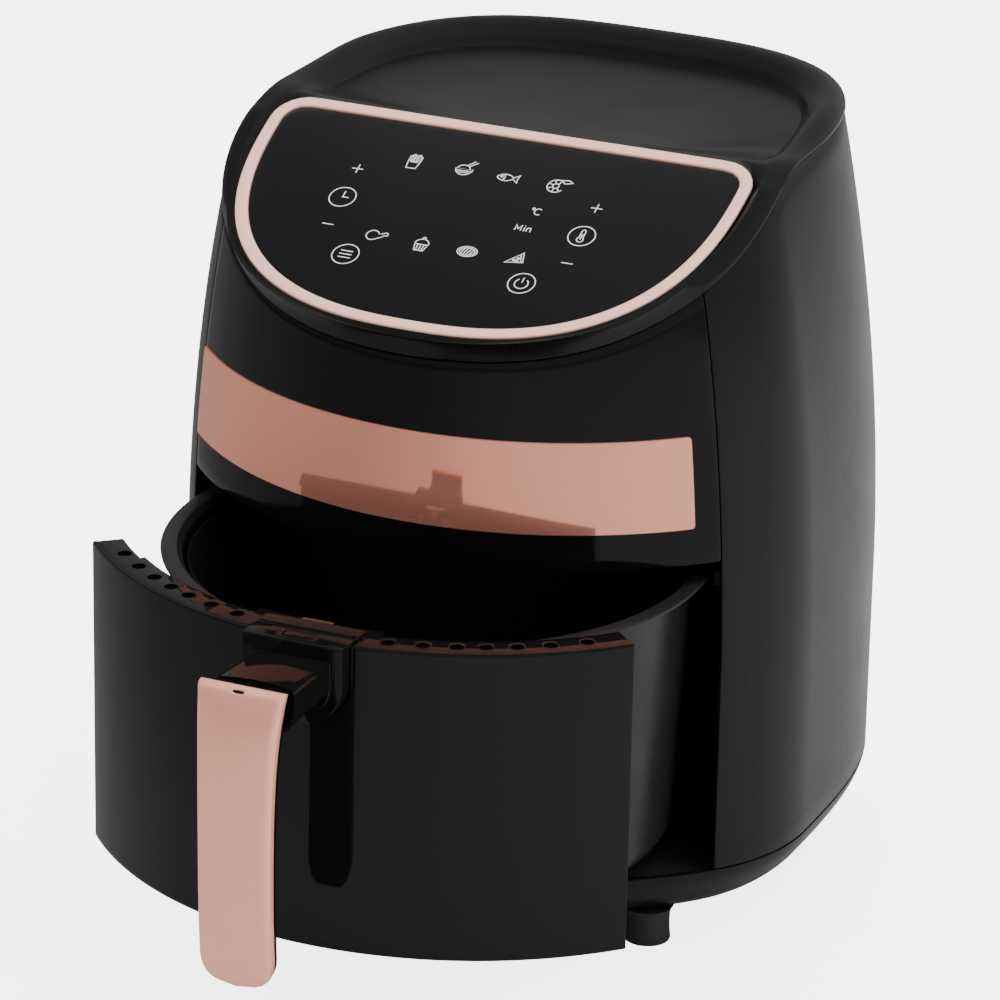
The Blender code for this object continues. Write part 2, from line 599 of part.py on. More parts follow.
def build_chamber(root, spinner):
    """Drawer cavity, heating chamber, fan and its motor."""
    centre_y = PAN_CENTRE_Y + DRAWER_OPEN
    inner_r = PAN_R + CAVITY_CLEARANCE
    outer_r = inner_r + CAVITY_WALL
    roof_low = OPENING_TOP_Z + 0.0040

    def u_wall(radius):
        points = [(radius, CAVITY_FRONT_Y)]
        points += [(radius * math.cos(a), centre_y + radius * math.sin(a)) for a in spread(0.0, math.pi, 25)]
        points.append((-radius, CAVITY_FRONT_Y))
        return points

    outer, inner = u_wall(outer_r), u_wall(inner_r)
    low = BASE_TOP_Z - 0.0015 + GAP
    sections = []
    for (ox, oy), (ix, iy) in zip(outer, inner):
        sections.append([(ox, oy, low), (ox, oy, roof_low - GAP), (ix, iy, roof_low - GAP), (ix, iy, low)])
    add_part("drawer_cavity", loft(sections), MATTE_BLACK, root)

    stations = spread(-3.0, 3.0, STATIONS + 1)[:-1]
    edge = [body_point(s, roof_low, WALL + 0.0006) for s in stations]
    hole = DOME_R - 0.003
    sections = []
    for p in edge:
        ray = Vector((p.x, p.y - centre_y)).normalized()
        q = Vector((ray.x * hole, centre_y + ray.y * hole, 0.0))
        sections.append([(p.x, p.y, roof_low), (p.x, p.y, roof_low + 0.002),
                         (q.x, q.y, roof_low + 0.002), (q.x, q.y, roof_low)])
    roof = add_part("chamber_roof", loft(sections, closed=True), MATTE_BLACK, root)
    slot = cutter("lever_slot", box(
        (SWITCH_X - 0.0022, SWITCH_Y - 0.004, roof_low - 0.004),
        (SWITCH_X + 0.0022, SWITCH_Y + 0.006, roof_low + 0.006)), root)
    cut(roof, [slot])

    dome_low = roof_low + 0.002 + GAP
    dome_high = dome_low + DOME_HEIGHT
    bore = SHAFT_R + 0.0008
    profile = [
        (DOME_R + 0.004, dome_low), (DOME_R + 0.004, dome_low + SHEET), (DOME_R + SHEET, dome_low + SHEET),
        (DOME_R - 0.004 + SHEET, dome_high - 0.012), (DOME_R - 0.016, dome_high), (bore, dome_high),
        (bore, dome_high - SHEET), (DOME_R - 0.0165, dome_high - SHEET), (DOME_R - 0.004, dome_high - 0.0125),
        (DOME_R, dome_low)]
    add_part("heat_dome", turned(profile, (0.0, centre_y, 0.0), 28), STEEL, root)

    turns = 2.0
    heater_z = dome_low + 0.016
    points = [Vector((0.080, centre_y, dome_high - SHEET - 0.001)), Vector((0.080, centre_y, heater_z + 0.006))]
    steps = 36
    for k in range(steps + 1):
        a = 2.0 * math.pi * turns * k / steps + 0.06
        r = 0.080 - 0.026 * k / steps
        points.append(Vector((r * math.cos(a), centre_y + r * math.sin(a), heater_z)))
    last = points[-1]
    points.append(last + Vector((0.0, 0.006, 0.0045)))
    points.append(Vector((last.x, last.y + 0.006, dome_high - SHEET - 0.001)))
    add_part("heating_element", sweep_tube(points, HEATER_R, 6), HEATER_METAL, root, 60.0)

    add_part("temperature_sensor", rod(
        0.0022, (-0.088, centre_y, heater_z - 0.003), dome_high - 0.0145 - heater_z, "Z", 12), STEEL, root)
    add_part("thermal_fuse", box(
        (0.050, centre_y + 0.030, dome_high + GAP), (0.064, centre_y + 0.038, dome_high + 0.006), 0.0006),
        CERAMIC, root)

    fan_top = dome_high - SHEET - 0.0035
    blades = paddle_wheel(FAN_R, FAN_HEIGHT, 10, 0.0008)
    bmesh.ops.translate(blades, verts=blades.verts, vec=(0.0, centre_y, fan_top - FAN_HEIGHT))
    add_part("hot_fan", blades, STEEL, spinner)

    bracket_low = dome_high + 0.004
    bracket_top = bracket_low + 0.002
    ring = [(bore, bracket_low), (0.046, bracket_low), (0.046, bracket_top), (bore, bracket_top)]
    add_part("motor_bracket", turned(ring, (0.0, centre_y, 0.0), 24), STEEL, root)
    for k in range(3):
        a = math.radians(90.0 + 120.0 * k)
        foot = (0.041 * math.cos(a), centre_y + 0.041 * math.sin(a), dome_high + GAP)
        add_part("bracket_post_%d" % (k + 1), rod(0.003, foot, bracket_low - dome_high - 2.0 * GAP, "Z", 12),
                 STEEL, root)
    motor_low = bracket_top + GAP
    motor_high = motor_low + MOTOR_HEIGHT
    can = [(bore, motor_low), (MOTOR_R - 0.002, motor_low), (MOTOR_R, motor_low + 0.002),
           (MOTOR_R, motor_high - 0.002), (MOTOR_R - 0.002, motor_high), (bore, motor_high)]
    add_part("fan_motor", turned(can, (0.0, centre_y, 0.0), 24), STEEL, root)
    shaft_low = fan_top + GAP
    add_part("motor_shaft", rod(SHAFT_R, (0.0, centre_y, shaft_low), motor_high + 0.003 - shaft_low), STEEL,
             spinner)
    cooler = paddle_wheel(0.036, 0.008, 8, 0.0008)
    bmesh.ops.translate(cooler, verts=cooler.verts, vec=(0.0, centre_y, motor_high + 0.003 + GAP))
    add_part("cooling_fan", cooler, MATTE_BLACK, spinner)

    rail_out = inner_r - GAP
    rail_in = PAN_R - PAN_FLANGE + 0.0020
    rail_top = PAN_TOP_Z - SHEET - 0.0022
    for side, sign in (("left", -1.0), ("right", 1.0)):
        xs = sorted((sign * rail_in, sign * rail_out))
        add_part("drawer_rail_%s" % side, box(
            (xs[0], CAVITY_FRONT_Y + 0.004, rail_top - 0.006),
            (xs[1], centre_y - 0.004, rail_top), 0.0004), MATTE_BLACK, root)

    board_y = centre_y + outer_r + 0.008
    add_part("power_board", box((-0.045, board_y, 0.085), (0.030, board_y + 0.0016, 0.150)), BOARD_GREEN, root)
    add_part("power_relay", box(
        (-0.030, board_y - 0.0005 - 0.006, 0.105), (-0.012, board_y - GAP, 0.122), 0.0004), MATTE_BLACK, root)


def paddle_wheel(radius, height, count, half_blade):
    """A flat hub with tall radial blades, as one extruded outline."""
    hub = radius * 0.30
    outline = []
    for k in range(count):
        a = 2.0 * math.pi * k / count
        along = Vector((math.cos(a), math.sin(a)))
        across = Vector((-along.y, along.x))
        for reach, side in ((hub, -1.0), (radius, -1.0), (radius, 1.0), (hub, 1.0)):
            outline.append(along * reach + across * side * half_blade)
    return loft([[(p.x, p.y, z) for p in outline] for z in (0.0, height)])


def build_switch(root, lever_pivot):
    """Door switch above the chamber roof, with the lever that hangs into the drawer's path."""
    roof_top = OPENING_TOP_Z + 0.0060
    low = (SWITCH_X - 0.008, SWITCH_Y + 0.0045, roof_top + GAP)
    body = box(low, (SWITCH_X + 0.006, SWITCH_Y + 0.0085, roof_top + 0.012), 0.0004)
    add_part("door_switch", body, MATTE_BLACK, root)
    pivot = origin_of(lever_pivot)
    low = (pivot.x - 0.0016, pivot.y - 0.0012, DRAWER_TOP_Z - 0.0025)
    high = (pivot.x + 0.0016, pivot.y + 0.0012, pivot.z + 0.0030)
    add_part("switch_lever", box(low, high, 0.0004), MATTE_BLACK, lever_pivot)


def build_rear(root):
    """Vent grille and the cord's inlet at the back."""
    low_y = BACK_Y - 0.0120
    grille = add_part("rear_vent_grille", box(
        (-VENT_HALF_WIDTH + GAP, low_y, VENT_LOW_Z + GAP),
        (VENT_HALF_WIDTH - GAP, BACK_Y - 0.0078, VENT_HIGH_Z - GAP)), MATTE_BLACK, root)
    tools = []
    rows = 7
    pitch = (VENT_HIGH_Z - VENT_LOW_Z) / (rows + 0.6)
    for k in range(rows):
        z = VENT_LOW_Z + pitch * (k + 0.55)
        tools.append(cutter("vent_slot_%d" % (k + 1), box(
            (-VENT_HALF_WIDTH + 0.005, low_y - 0.01, z), (VENT_HALF_WIDTH - 0.005, BACK_Y + 0.01, z + pitch * 0.5)),
            root))
    cut(grille, tools)
    inner = 0.0036
    wall_y = body_back_y(GLAND_X)
    profile = [
        (inner, -0.010), (GLAND_R + 0.0025, -0.010), (GLAND_R + 0.0025, -WALL - 0.0020),
        (GLAND_R - GAP, -WALL - 0.0020),
        (GLAND_R - GAP, 0.0006), (GLAND_R - 0.0008, 0.0022), (inner, 0.0022)]
    add_part("cord_gland", turned(profile, (GLAND_X, wall_y, GLAND_Z), 24, "Y"), RUBBER, root)


def body_back_y(x):
    """Back face of the straight part of the housing at a given x."""
    return plan_point(0.0)[1] + (BACK_Y - FRONT_Y) - BACK_DEPTH * (
        1.0 - (1.0 - (abs(x) / HALF_WIDTH) ** BACK_POWER) ** (1.0 / BACK_POWER))


def drawer_arc(angle, radius):
    return (radius * math.sin(angle), FRONT_CENTRE_Y - DRAWER_OPEN - radius * math.cos(angle))


def build_drawer(drawer, button_slide, hook_pivot):
    """Pan, basket, drawer front, ledge and the handle."""
    inner_front = FRONT_R - DRAWER_FRONT_THICKNESS
    end = FRONT_ANGLE - DRAWER_END_GAP / FRONT_R
    notch = BRACKET_HALF_WIDTH + BRACKET_FIT
    notch_angle = math.asin(notch / FRONT_R)
    floor_z = BRACKET_TOP_Z - BRACKET_DROP - BRACKET_FIT
    notch_angles = [math.asin(notch * math.sin(a) / FRONT_R) for a in spread(-math.pi / 2.0, math.pi / 2.0, 17)]
    angles = spread(-end, -notch_angle - 0.0002, 12) + notch_angles
    angles += spread(notch_angle + 0.0002, end, 12)
    sections = []
    for a in angles:
        x = FRONT_R * math.sin(a)
        top = DRAWER_TOP_Z
        if abs(a) <= notch_angle + 0.0001:
            top = bracket_floor(x, notch, floor_z)
        ox, oy = drawer_arc(a, FRONT_R)
        bx, by = drawer_arc(a, FRONT_R - 0.0005)
        ix, iy = drawer_arc(a, inner_front)
        sections.append([(ox, oy, DRAWER_FRONT_BOTTOM_Z + 0.0005), (ox, oy, top - 0.0005), (bx, by, top),
                         (ix, iy, top), (ix, iy, DRAWER_FRONT_BOTTOM_Z), (bx, by, DRAWER_FRONT_BOTTOM_Z)])
    add_part("drawer_front", loft(sections), GLOSS_BLACK, drawer)

    ledge_out = inner_front - GAP
    ledge_in = FRONT_R - LEDGE_WIDTH
    bridge_in = ledge_in - BRIDGE_WIDTH
    low = DRAWER_TOP_Z - LEDGE_THICKNESS
    angles = spread(-LEDGE_ANGLE, -BRIDGE_ANGLE - 0.0005, 15) + spread(-BRIDGE_ANGLE, BRIDGE_ANGLE, 9)
    angles += spread(BRIDGE_ANGLE + 0.0005, LEDGE_ANGLE, 15)
    sections = []
    for a in angles:
        low_r = bridge_in if abs(a) <= BRIDGE_ANGLE + 0.0001 else ledge_in
        ox, oy = drawer_arc(a, ledge_out)
        ix, iy = drawer_arc(a, low_r)
        sections.append([(ox, oy, low), (ox, oy, DRAWER_TOP_Z), (ix, iy, DRAWER_TOP_Z), (ix, iy, low)])
    ledge = add_part("drawer_ledge", loft(sections), GLOSS_BLACK, drawer)
    holes = [cutter("bracket_bay", box(
        (-notch, PLATE_BACK_Y - 0.03, low - 0.005), (notch, PLATE_BACK_Y + BRACKET_FIT, DRAWER_TOP_Z + 0.005)),
        drawer)]
    for k, a in enumerate(VENT_ANGLES):
        for side in (-1.0, 1.0):
            x, y = drawer_arc(side * a, VENT_RADIUS)
            label = "vent_hole_%d%s" % (k + 1, "l" if side < 0 else "r")
            holes.append(cutter(label, rod(VENT_HOLE_R, (x, y, DRAWER_TOP_Z - 0.006), 0.010, "Z", 12), drawer))
    cut(ledge, holes)

    top_r = PAN_R - PAN_FLANGE
    wall_r = top_r - 0.0010
    low_r = wall_r - PAN_DRAFT
    corner = 0.010
    outside = [(PAN_R, PAN_TOP_Z - SHEET), (wall_r, PAN_TOP_Z - SHEET - 0.001)]
    outside += [(low_r - corner + corner * math.cos(a), PAN_BOTTOM_Z + corner - corner * math.sin(a))
                for a in spread(0.0, math.pi / 2.0, 5)]
    inside = [(low_r - corner + (corner - SHEET) * math.cos(a),
               PAN_BOTTOM_Z + corner - (corner - SHEET) * math.sin(a)) for a in spread(math.pi / 2.0, 0.0, 5)]
    profile = [(0.0, PAN_BOTTOM_Z + SHEET)] + inside
    profile += [(wall_r - SHEET, PAN_TOP_Z - 0.0006), (top_r, PAN_TOP_Z), (PAN_R, PAN_TOP_Z)]
    profile += outside + [(0.0, PAN_BOTTOM_Z)]
    add_part("pan", turned(profile, (0.0, PAN_CENTRE_Y, 0.0), 36), PAN_GREY, drawer)

    basket_r = wall_r - SHEET - BASKET_CLEARANCE
    floor_r = basket_r - PAN_DRAFT
    base_z = PAN_BOTTOM_Z + 0.008
    rim_z_basket = PAN_TOP_Z - 0.0045
    profile = [(0.0, base_z + SHEET), (floor_r - 0.005, base_z + SHEET), (floor_r - SHEET, base_z + 0.005),
               (basket_r - SHEET, rim_z_basket), (basket_r, rim_z_basket), (floor_r, base_z + 0.005),
               (floor_r - 0.005, base_z), (0.0, base_z)]
    add_part("basket", turned(profile, (0.0, PAN_CENTRE_Y, 0.0), 32), NON_STICK, drawer)

    front_y = FRONT_CENTRE_Y - DRAWER_OPEN - FRONT_R
    block = prism_xz(bracket_outline(BRACKET_HALF_WIDTH, BRACKET_TOP_Z, BRACKET_TOP_Z - BRACKET_DROP),
                     front_y - BRACKET_PROUD, front_y + BRACKET_DEPTH - BRACKET_PROUD)
    bracket = add_part("handle_bracket", block, GLOSS_BLACK, drawer)
    button_y = front_y + 0.0002
    well = cutter("button_well", box(
        (-BUTTON_HALF_WIDTH - GAP, button_y - BUTTON_LENGTH / 2.0 - GAP, BRACKET_TOP_Z - 0.017),
        (BUTTON_HALF_WIDTH + GAP, button_y + BUTTON_LENGTH / 2.0 + GAP, BRACKET_TOP_Z + 0.005)), drawer)
    cut(bracket, [well])
    add_part("bracket_plate", box(
        (-BRACKET_HALF_WIDTH, front_y + BRACKET_DEPTH - BRACKET_PROUD + GAP, BRACKET_TOP_Z - 0.0022),
        (BRACKET_HALF_WIDTH, PLATE_BACK_Y, BRACKET_TOP_Z)), GLOSS_BLACK, drawer)
    add_part("release_button", box(
        (-BUTTON_HALF_WIDTH, button_y - BUTTON_LENGTH / 2.0, BRACKET_TOP_Z - 0.0115),
        (BUTTON_HALF_WIDTH, button_y + BUTTON_LENGTH / 2.0, BRACKET_TOP_Z), 0.0004), GLOSS_BLACK, button_slide)
    spring = coil((0.0, button_y, BRACKET_TOP_Z - 0.0165), 0.0022, 0.0004, 0.0046, 2.5, "Z")
    add_part("button_spring", spring, STEEL,
             drawer)
    add_handle(drawer, front_y)
    add_latch(drawer, hook_pivot)


def bracket_floor(x, half, floor_z):
    """Lower edge of the bracket's U outline."""
    corner = half * 0.86
    over = max(abs(x) - (half - corner), 0.0)
    return floor_z + corner * 0.92 * (1.0 - math.sqrt(max(1.0 - (over / corner) ** 2, 0.0)))


def bracket_outline(half, top_z, floor_z):
    points = [(-half, top_z)]
    for a in spread(-math.pi / 2.0, math.pi / 2.0, 17):
        x = half * math.sin(a)
        points.append((x, bracket_floor(x, half, floor_z)))
    points.append((half, top_z))
    return points


def prism_xz(outline, front_y, back_y, bevel=0.0006):
    """An outline in the X-Z plane extruded along Y with a small bevel on its front edge."""
    middle_x = sum(p[0] for p in outline) / len(outline)
    middle_z = sum(p[1] for p in outline) / len(outline)

    def ring(y, inset):
        points = []
        for x, z in outline:
            out = Vector((x - middle_x, z - middle_z))
            shrink = 1.0 - inset / out.length
            points.append((middle_x + out.x * shrink, y, middle_z + out.y * shrink))
        return points

    return loft([ring(front_y, bevel), ring(front_y + bevel, 0.0), ring(back_y, 0.0)])


def grip_front_y(z, front_y):
    """Face of the grip: furthest out in the middle, drawn back at both ends."""
    share = (z - GRIP_BOTTOM_Z) / (GRIP_TOP_Z - GRIP_BOTTOM_Z)
    return front_y - GRIP_REACH + 0.006 * share ** 6 + 0.003 * (1.0 - share) ** 6


def grip_half(z):
    """Half width of the grip: flared at the top, rounded at the bottom."""
    share = (z - GRIP_BOTTOM_Z) / (GRIP_TOP_Z - GRIP_BOTTOM_Z)
    half = GRIP_HALF_WIDTH + GRIP_FLARE * share ** 5
    low = (z - GRIP_BOTTOM_Z) / 0.012
    if low < 1.0:
        half *= 0.45 + 0.55 * math.sqrt(1.0 - (1.0 - low) ** 2)
    return half


def add_handle(drawer, front_y):
    """Stem, rose-gold grip cover and the black back of the grip."""
    joint_y = grip_front_y(STEM_TOP_Z, front_y) + GRIP_COVER_DEPTH + GRIP_BACK_DEPTH
    start = front_y - BRACKET_PROUD - GAP
    slant = grip_front_y(STEM_TOP_Z, front_y) - grip_front_y(STEM_TOP_Z - STEM_THICKNESS, front_y)
    sections = []
    for y in spread(joint_y + GAP, start, 6):
        share = (y - joint_y) / (start - joint_y)
        sag = 0.0012 * share
        thick = STEM_THICKNESS + 0.0035 * (1.0 - share)
        low_y = y - slant * (1.0 - share)
        half = STEM_HALF_WIDTH
        section = []
        inner_x = half * 0.6
        for x, lift in ((-half, -0.0016), (-inner_x, -0.0002), (0.0, 0.0), (inner_x, -0.0002), (half, -0.0016)):
            section.append((x, y, STEM_TOP_Z + lift - sag))
        section.append((half, low_y, STEM_TOP_Z - thick - sag + 0.002))
        section.append((half - 0.003, low_y, STEM_TOP_Z - thick - sag))
        section.append((-half + 0.003, low_y, STEM_TOP_Z - thick - sag))
        section.append((-half, low_y, STEM_TOP_Z - thick - sag + 0.002))
        sections.append(section)
    add_part("handle_stem", loft(sections), GLOSS_BLACK, drawer)

    heights = [GRIP_BOTTOM_Z + (GRIP_TOP_Z - GRIP_BOTTOM_Z) * k for k in
               (0.0, 0.012, 0.03, 0.06, 0.10, 0.25, 0.5, 0.75, 0.88, 0.95, 1.0)]
    cover, back = [], []
    for z in heights:
        face = grip_front_y(z, front_y)
        half = grip_half(z)
        seam = face + GRIP_COVER_DEPTH
        cover.append([(-half, seam, z), (-half, face + 0.0035, z), (-half * 0.9, face + 0.0012, z),
                      (-half * 0.5, face + 0.0002, z), (0.0, face, z), (half * 0.5, face + 0.0002, z),
                      (half * 0.9, face + 0.0012, z), (half, face + 0.0035, z), (half, seam, z)])
        if z >= GRIP_BOTTOM_Z + 0.0014:
            rear = seam + GAP
            depth = GRIP_BACK_DEPTH - 0.0022 - 2.0 * GAP
            back.append([(-half + 0.0008, rear, z), (half - 0.0008, rear, z), (half - 0.0008, rear + depth * 0.6, z),
                         (half * 0.7, rear + depth, z), (-half * 0.7, rear + depth, z),
                         (-half + 0.0008, rear + depth * 0.6, z)])
    add_part("grip_cover", loft(cover), ROSE_GOLD, drawer, 40.0)
    add_part("grip_back", loft(back), GLOSS_BLACK, drawer, 40.0)


def coil(start, radius, wire, length, turns, axis):
    """A helical spring as one closed tube."""
    steps = int(turns * 8)
    points = []
    for k in range(steps + 1):
        a = 2.0 * math.pi * turns * k / steps
        along = length * k / steps
        if axis == "X":
            points.append(Vector(start) + Vector((along, radius * math.cos(a), radius * math.sin(a))))
        else:
            points.append(Vector(start) + Vector((radius * math.cos(a), radius * math.sin(a), along)))
    return sweep_tube(points, wire, 4)


def add_latch(drawer, hook_pivot):
    """Latch hook on its rod between two springs, with the bright clip above it."""
    add_part("latch_rod", rod(ROD_R, (-0.019, ROD_Y, ROD_Z), 0.038, "X", 12, 0.0002), STEEL, hook_pivot)
    for side, x in (("left", -0.0165), ("right", 0.0045)):
        add_part("latch_spring_%s" % side, coil((x, ROD_Y, ROD_Z), 0.0017, 0.0003, 0.0120, 5.0, "X"), STEEL, drawer)
    outline = [(-0.0014, 0.0024), (0.0020, 0.0024), (0.0022, -0.0024), (0.0052, -0.0026), (0.0052, -0.0046),
               (-0.0014, -0.0050)]
    sections = [[(x, ROD_Y + y, ROD_Z + z) for y, z in outline] for x in (-0.0032, 0.0032)]
    hook = add_part("latch_hook", loft(sections), STEEL, hook_pivot)
    bore = cutter("hook_bore", rod(ROD_R + GAP, (-0.006, ROD_Y, ROD_Z), 0.012, "X", 12), hook_pivot)
    cut(hook, [bore])
    clip_low = DRAWER_TOP_Z + GAP
    clip = box((-0.0065, PLATE_BACK_Y + 0.0008, clip_low), (0.0065, PLATE_BACK_Y + 0.0032, clip_low + 0.0008), 0.0002)
    add_part("latch_clip", clip, STEEL, drawer)


def build():
    clear_scene()
    shift_y = -(BACK_Y + FRONT_CENTRE_Y - DRAWER_OPEN - FRONT_R - GRIP_REACH) / 2.0
    world = add_empty("fryer_origin", (0.0, shift_y, 0.0))
    chamber_y = PAN_CENTRE_Y + DRAWER_OPEN
    button_y = FRONT_CENTRE_Y - DRAWER_OPEN - FRONT_R + 0.0002
    spinner = add_empty("fan_axis", (0.0, chamber_y, 0.20), world)
    lever_pivot = add_empty("switch_pivot", (SWITCH_X, SWITCH_Y, 0.1790), world)
    drawer = add_empty("drawer_slide", (0.0, FRONT_CENTRE_Y - DRAWER_OPEN - FRONT_R, 0.10), world)
    drawer_place = drawer.location.copy()
    button_slide = add_empty("button_slide", Vector((0.0, button_y, BRACKET_TOP_Z)) - drawer_place, drawer)
    hook_pivot = add_empty("hook_pivot", Vector((0.0, ROD_Y, ROD_Z)) - drawer_place, drawer)
    build_shells(world)
    build_top(world)
    build_base(world)
    build_chamber(world, spinner)
    build_switch(world, lever_pivot)
    build_rear(world)
    build_drawer(drawer, button_slide, hook_pivot)


GLOSS_BLACK = make_material("gloss_black", (0.012, 0.012, 0.013), 0.18)
MATTE_BLACK = make_material("matte_black", (0.02, 0.02, 0.021), 0.55)
ROSE_GOLD = make_material("rose_gold", (0.83, 0.52, 0.43), 0.22, 1.0)
PANEL_GLASS = make_material("panel_glass", (0.01, 0.01, 0.012), 0.06)
PAN_GREY = make_material("pan_grey", (0.10, 0.10, 0.105), 0.40)
NON_STICK = make_material("non_stick", (0.012, 0.012, 0.012), 0.45)
STEEL = make_material("steel", (0.62, 0.62, 0.64), 0.28, 1.0)
HEATER_METAL = make_material("heater_metal", (0.20, 0.18, 0.17), 0.45, 1.0)
CERAMIC = make_material("ceramic", (0.80, 0.78, 0.72), 0.50)
BOARD_GREEN = make_material("board_green", (0.03, 0.16, 0.08), 0.45)
RUBBER = make_material("rubber", (0.018, 0.018, 0.018), 0.75)
CUTTER_MATERIAL = make_material("cutter", (0.8, 0.1, 0.1), 0.5)

build()
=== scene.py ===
# Countertop air fryer with its drawer standing open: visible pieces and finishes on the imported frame.
import math

import bmesh
import bpy
from mathutils import Matrix, Vector


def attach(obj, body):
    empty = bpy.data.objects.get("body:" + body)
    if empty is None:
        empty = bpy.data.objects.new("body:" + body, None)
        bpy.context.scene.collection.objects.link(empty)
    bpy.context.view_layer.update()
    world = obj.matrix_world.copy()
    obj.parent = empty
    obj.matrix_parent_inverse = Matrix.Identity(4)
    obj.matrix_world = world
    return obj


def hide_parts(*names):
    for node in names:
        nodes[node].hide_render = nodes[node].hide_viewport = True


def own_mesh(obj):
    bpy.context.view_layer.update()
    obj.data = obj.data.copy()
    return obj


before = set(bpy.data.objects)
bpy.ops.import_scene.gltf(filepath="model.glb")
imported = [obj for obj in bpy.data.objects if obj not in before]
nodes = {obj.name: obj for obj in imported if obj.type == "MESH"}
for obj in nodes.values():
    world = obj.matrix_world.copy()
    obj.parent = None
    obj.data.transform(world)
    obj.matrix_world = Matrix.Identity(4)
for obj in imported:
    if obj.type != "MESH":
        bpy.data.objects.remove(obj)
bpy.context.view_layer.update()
shiftY = 0.0364        # from the fryer's own plan to the frame
gap = 0.0003
print("frame loaded:", len(nodes), "nodes")


# node trees from tables: each node has its kind and values, each wire its two ends
def socketKind(value):
    if isinstance(value, tuple):
        return "NodeSocketColor" if len(value) == 4 else "NodeSocketVector"
    return {float: "NodeSocketFloat", int: "NodeSocketInt"}.get(type(value), value)


def socketAt(sockets, label):
    return sockets[int(label)] if label.isdigit() else sockets[label]


def wire(tree, made, parts, wires):
    for name, (kind, values) in parts.items():
        made[name] = tree.nodes.new(kind)
        for label, value in values.items():
            if label.islower():
                setattr(made[name], label, value)
            else:
                socketAt(made[name].inputs, label).default_value = value
    for line in wires:
        (start, output), (end, socket) = (side.split(".") for side in line.split(" > "))
        tree.links.new(socketAt(made[start].outputs, output), socketAt(made[end].inputs, socket))


def nodeGroup(name, kind, inputs, outputs, parts, wires):
    tree = bpy.data.node_groups.new(name, kind)
    for label, value in inputs.items():
        socket = tree.interface.new_socket(label, in_out="INPUT", socket_type=socketKind(value))
        if not isinstance(value, str):
            socket.default_value = value
    for label, value in outputs.items():
        tree.interface.new_socket(label, in_out="OUTPUT", socket_type=value)
    wire(tree, {"enter": tree.nodes.new("NodeGroupInput"), "leave": tree.nodes.new("NodeGroupOutput")}, parts, wires)
    return tree


# shader groups used by several finishes
# cloudy wiping marks: roughness between two values, and the mask itself
wipeMarks = nodeGroup("wipeMarks", "ShaderNodeTree", {"Scale": 30.0, "Polished": 0.1, "Dull": 0.2},
                      {"Roughness": "NodeSocketFloat", "Mask": "NodeSocketFloat"}, {
    "coord": ("ShaderNodeTexCoord", {}), "noise": ("ShaderNodeTexNoise", {"Detail": 4.0}),
    "span": ("ShaderNodeMapRange", {"From Min": 0.32, "From Max": 0.68}), "mix": ("ShaderNodeMix", {})}, (
    "coord.Object > noise.Vector", "enter.Scale > noise.Scale", "noise.Fac > span.Value", "span.Result > mix.0",
    "enter.Polished > mix.2", "enter.Dull > mix.3", "mix.0 > leave.Roughness", "span.Result > leave.Mask"))

# moulded or blasted grain as a bumped normal
fineGrain = nodeGroup("fineGrain", "ShaderNodeTree", {"Scale": 900.0, "Strength": 0.1, "Depth": 0.0001},
                      {"Normal": "NodeSocketVector"}, {
    "coord": ("ShaderNodeTexCoord", {}), "noise": ("ShaderNodeTexNoise", {"Detail": 3.0}),
    "bump": ("ShaderNodeBump", {})}, (
    "coord.Object > noise.Vector", "enter.Scale > noise.Scale", "noise.Fac > bump.Height",
    "enter.Strength > bump.Strength", "enter.Depth > bump.Distance", "bump.Normal > leave.Normal"))

# sparse lint and dust: a colour between the clean and the dusty one
lintSpecks = nodeGroup("lintSpecks", "ShaderNodeTree", {
    "Clean": (0, 0, 0, 1), "Dusty": (0.1, 0.1, 0.1, 1), "Scale": 600.0, "Amount": 0.1}, {"Color": "NodeSocketColor"}, {
    "coord": ("ShaderNodeTexCoord", {}), "cells": ("ShaderNodeTexVoronoi", {}),
    "span": ("ShaderNodeMapRange", {"From Min": 0.16, "From Max": 0.06}),
    "patch": ("ShaderNodeTexNoise", {"Scale": 22.0}),
    "level": ("ShaderNodeMapRange", {"From Min": 0.5, "From Max": 0.75}),
    "both": ("ShaderNodeMath", {"operation": "MULTIPLY"}), "share": ("ShaderNodeMath", {"operation": "MULTIPLY"}),
    "mix": ("ShaderNodeMix", {"data_type": "RGBA"})}, (
    "coord.Object > cells.Vector", "coord.Object > patch.Vector", "enter.Scale > cells.Scale",
    "cells.Distance > span.Value", "patch.Fac > level.Value", "span.Result > both.0", "level.Result > both.1",
    "both.Value > share.0", "enter.Amount > share.1", "share.Value > mix.0", "enter.Clean > mix.6",
    "enter.Dusty > mix.7", "mix.2 > leave.Color"))

# drawn or rolled lines along one axis of the piece
drawnLines = nodeGroup("drawnLines", "ShaderNodeTree", {"Stretch": (1.0, 1.0, 1.0), "Low": 0.2, "High": 0.4},
                       {"Roughness": "NodeSocketFloat", "Normal": "NodeSocketVector"}, {
    "coord": ("ShaderNodeTexCoord", {}), "mapping": ("ShaderNodeMapping", {}),
    "noise": ("ShaderNodeTexNoise", {"Scale": 60.0, "Detail": 5.0}), "mix": ("ShaderNodeMix", {}),
    "bump": ("ShaderNodeBump", {"Strength": 0.08, "Distance": 0.0001})}, (
    "coord.Object > mapping.Vector", "enter.Stretch > mapping.Scale", "mapping.Vector > noise.Vector",
    "noise.Fac > mix.0", "enter.Low > mix.2", "enter.High > mix.3", "noise.Fac > bump.Height",
    "mix.0 > leave.Roughness", "bump.Normal > leave.Normal"))


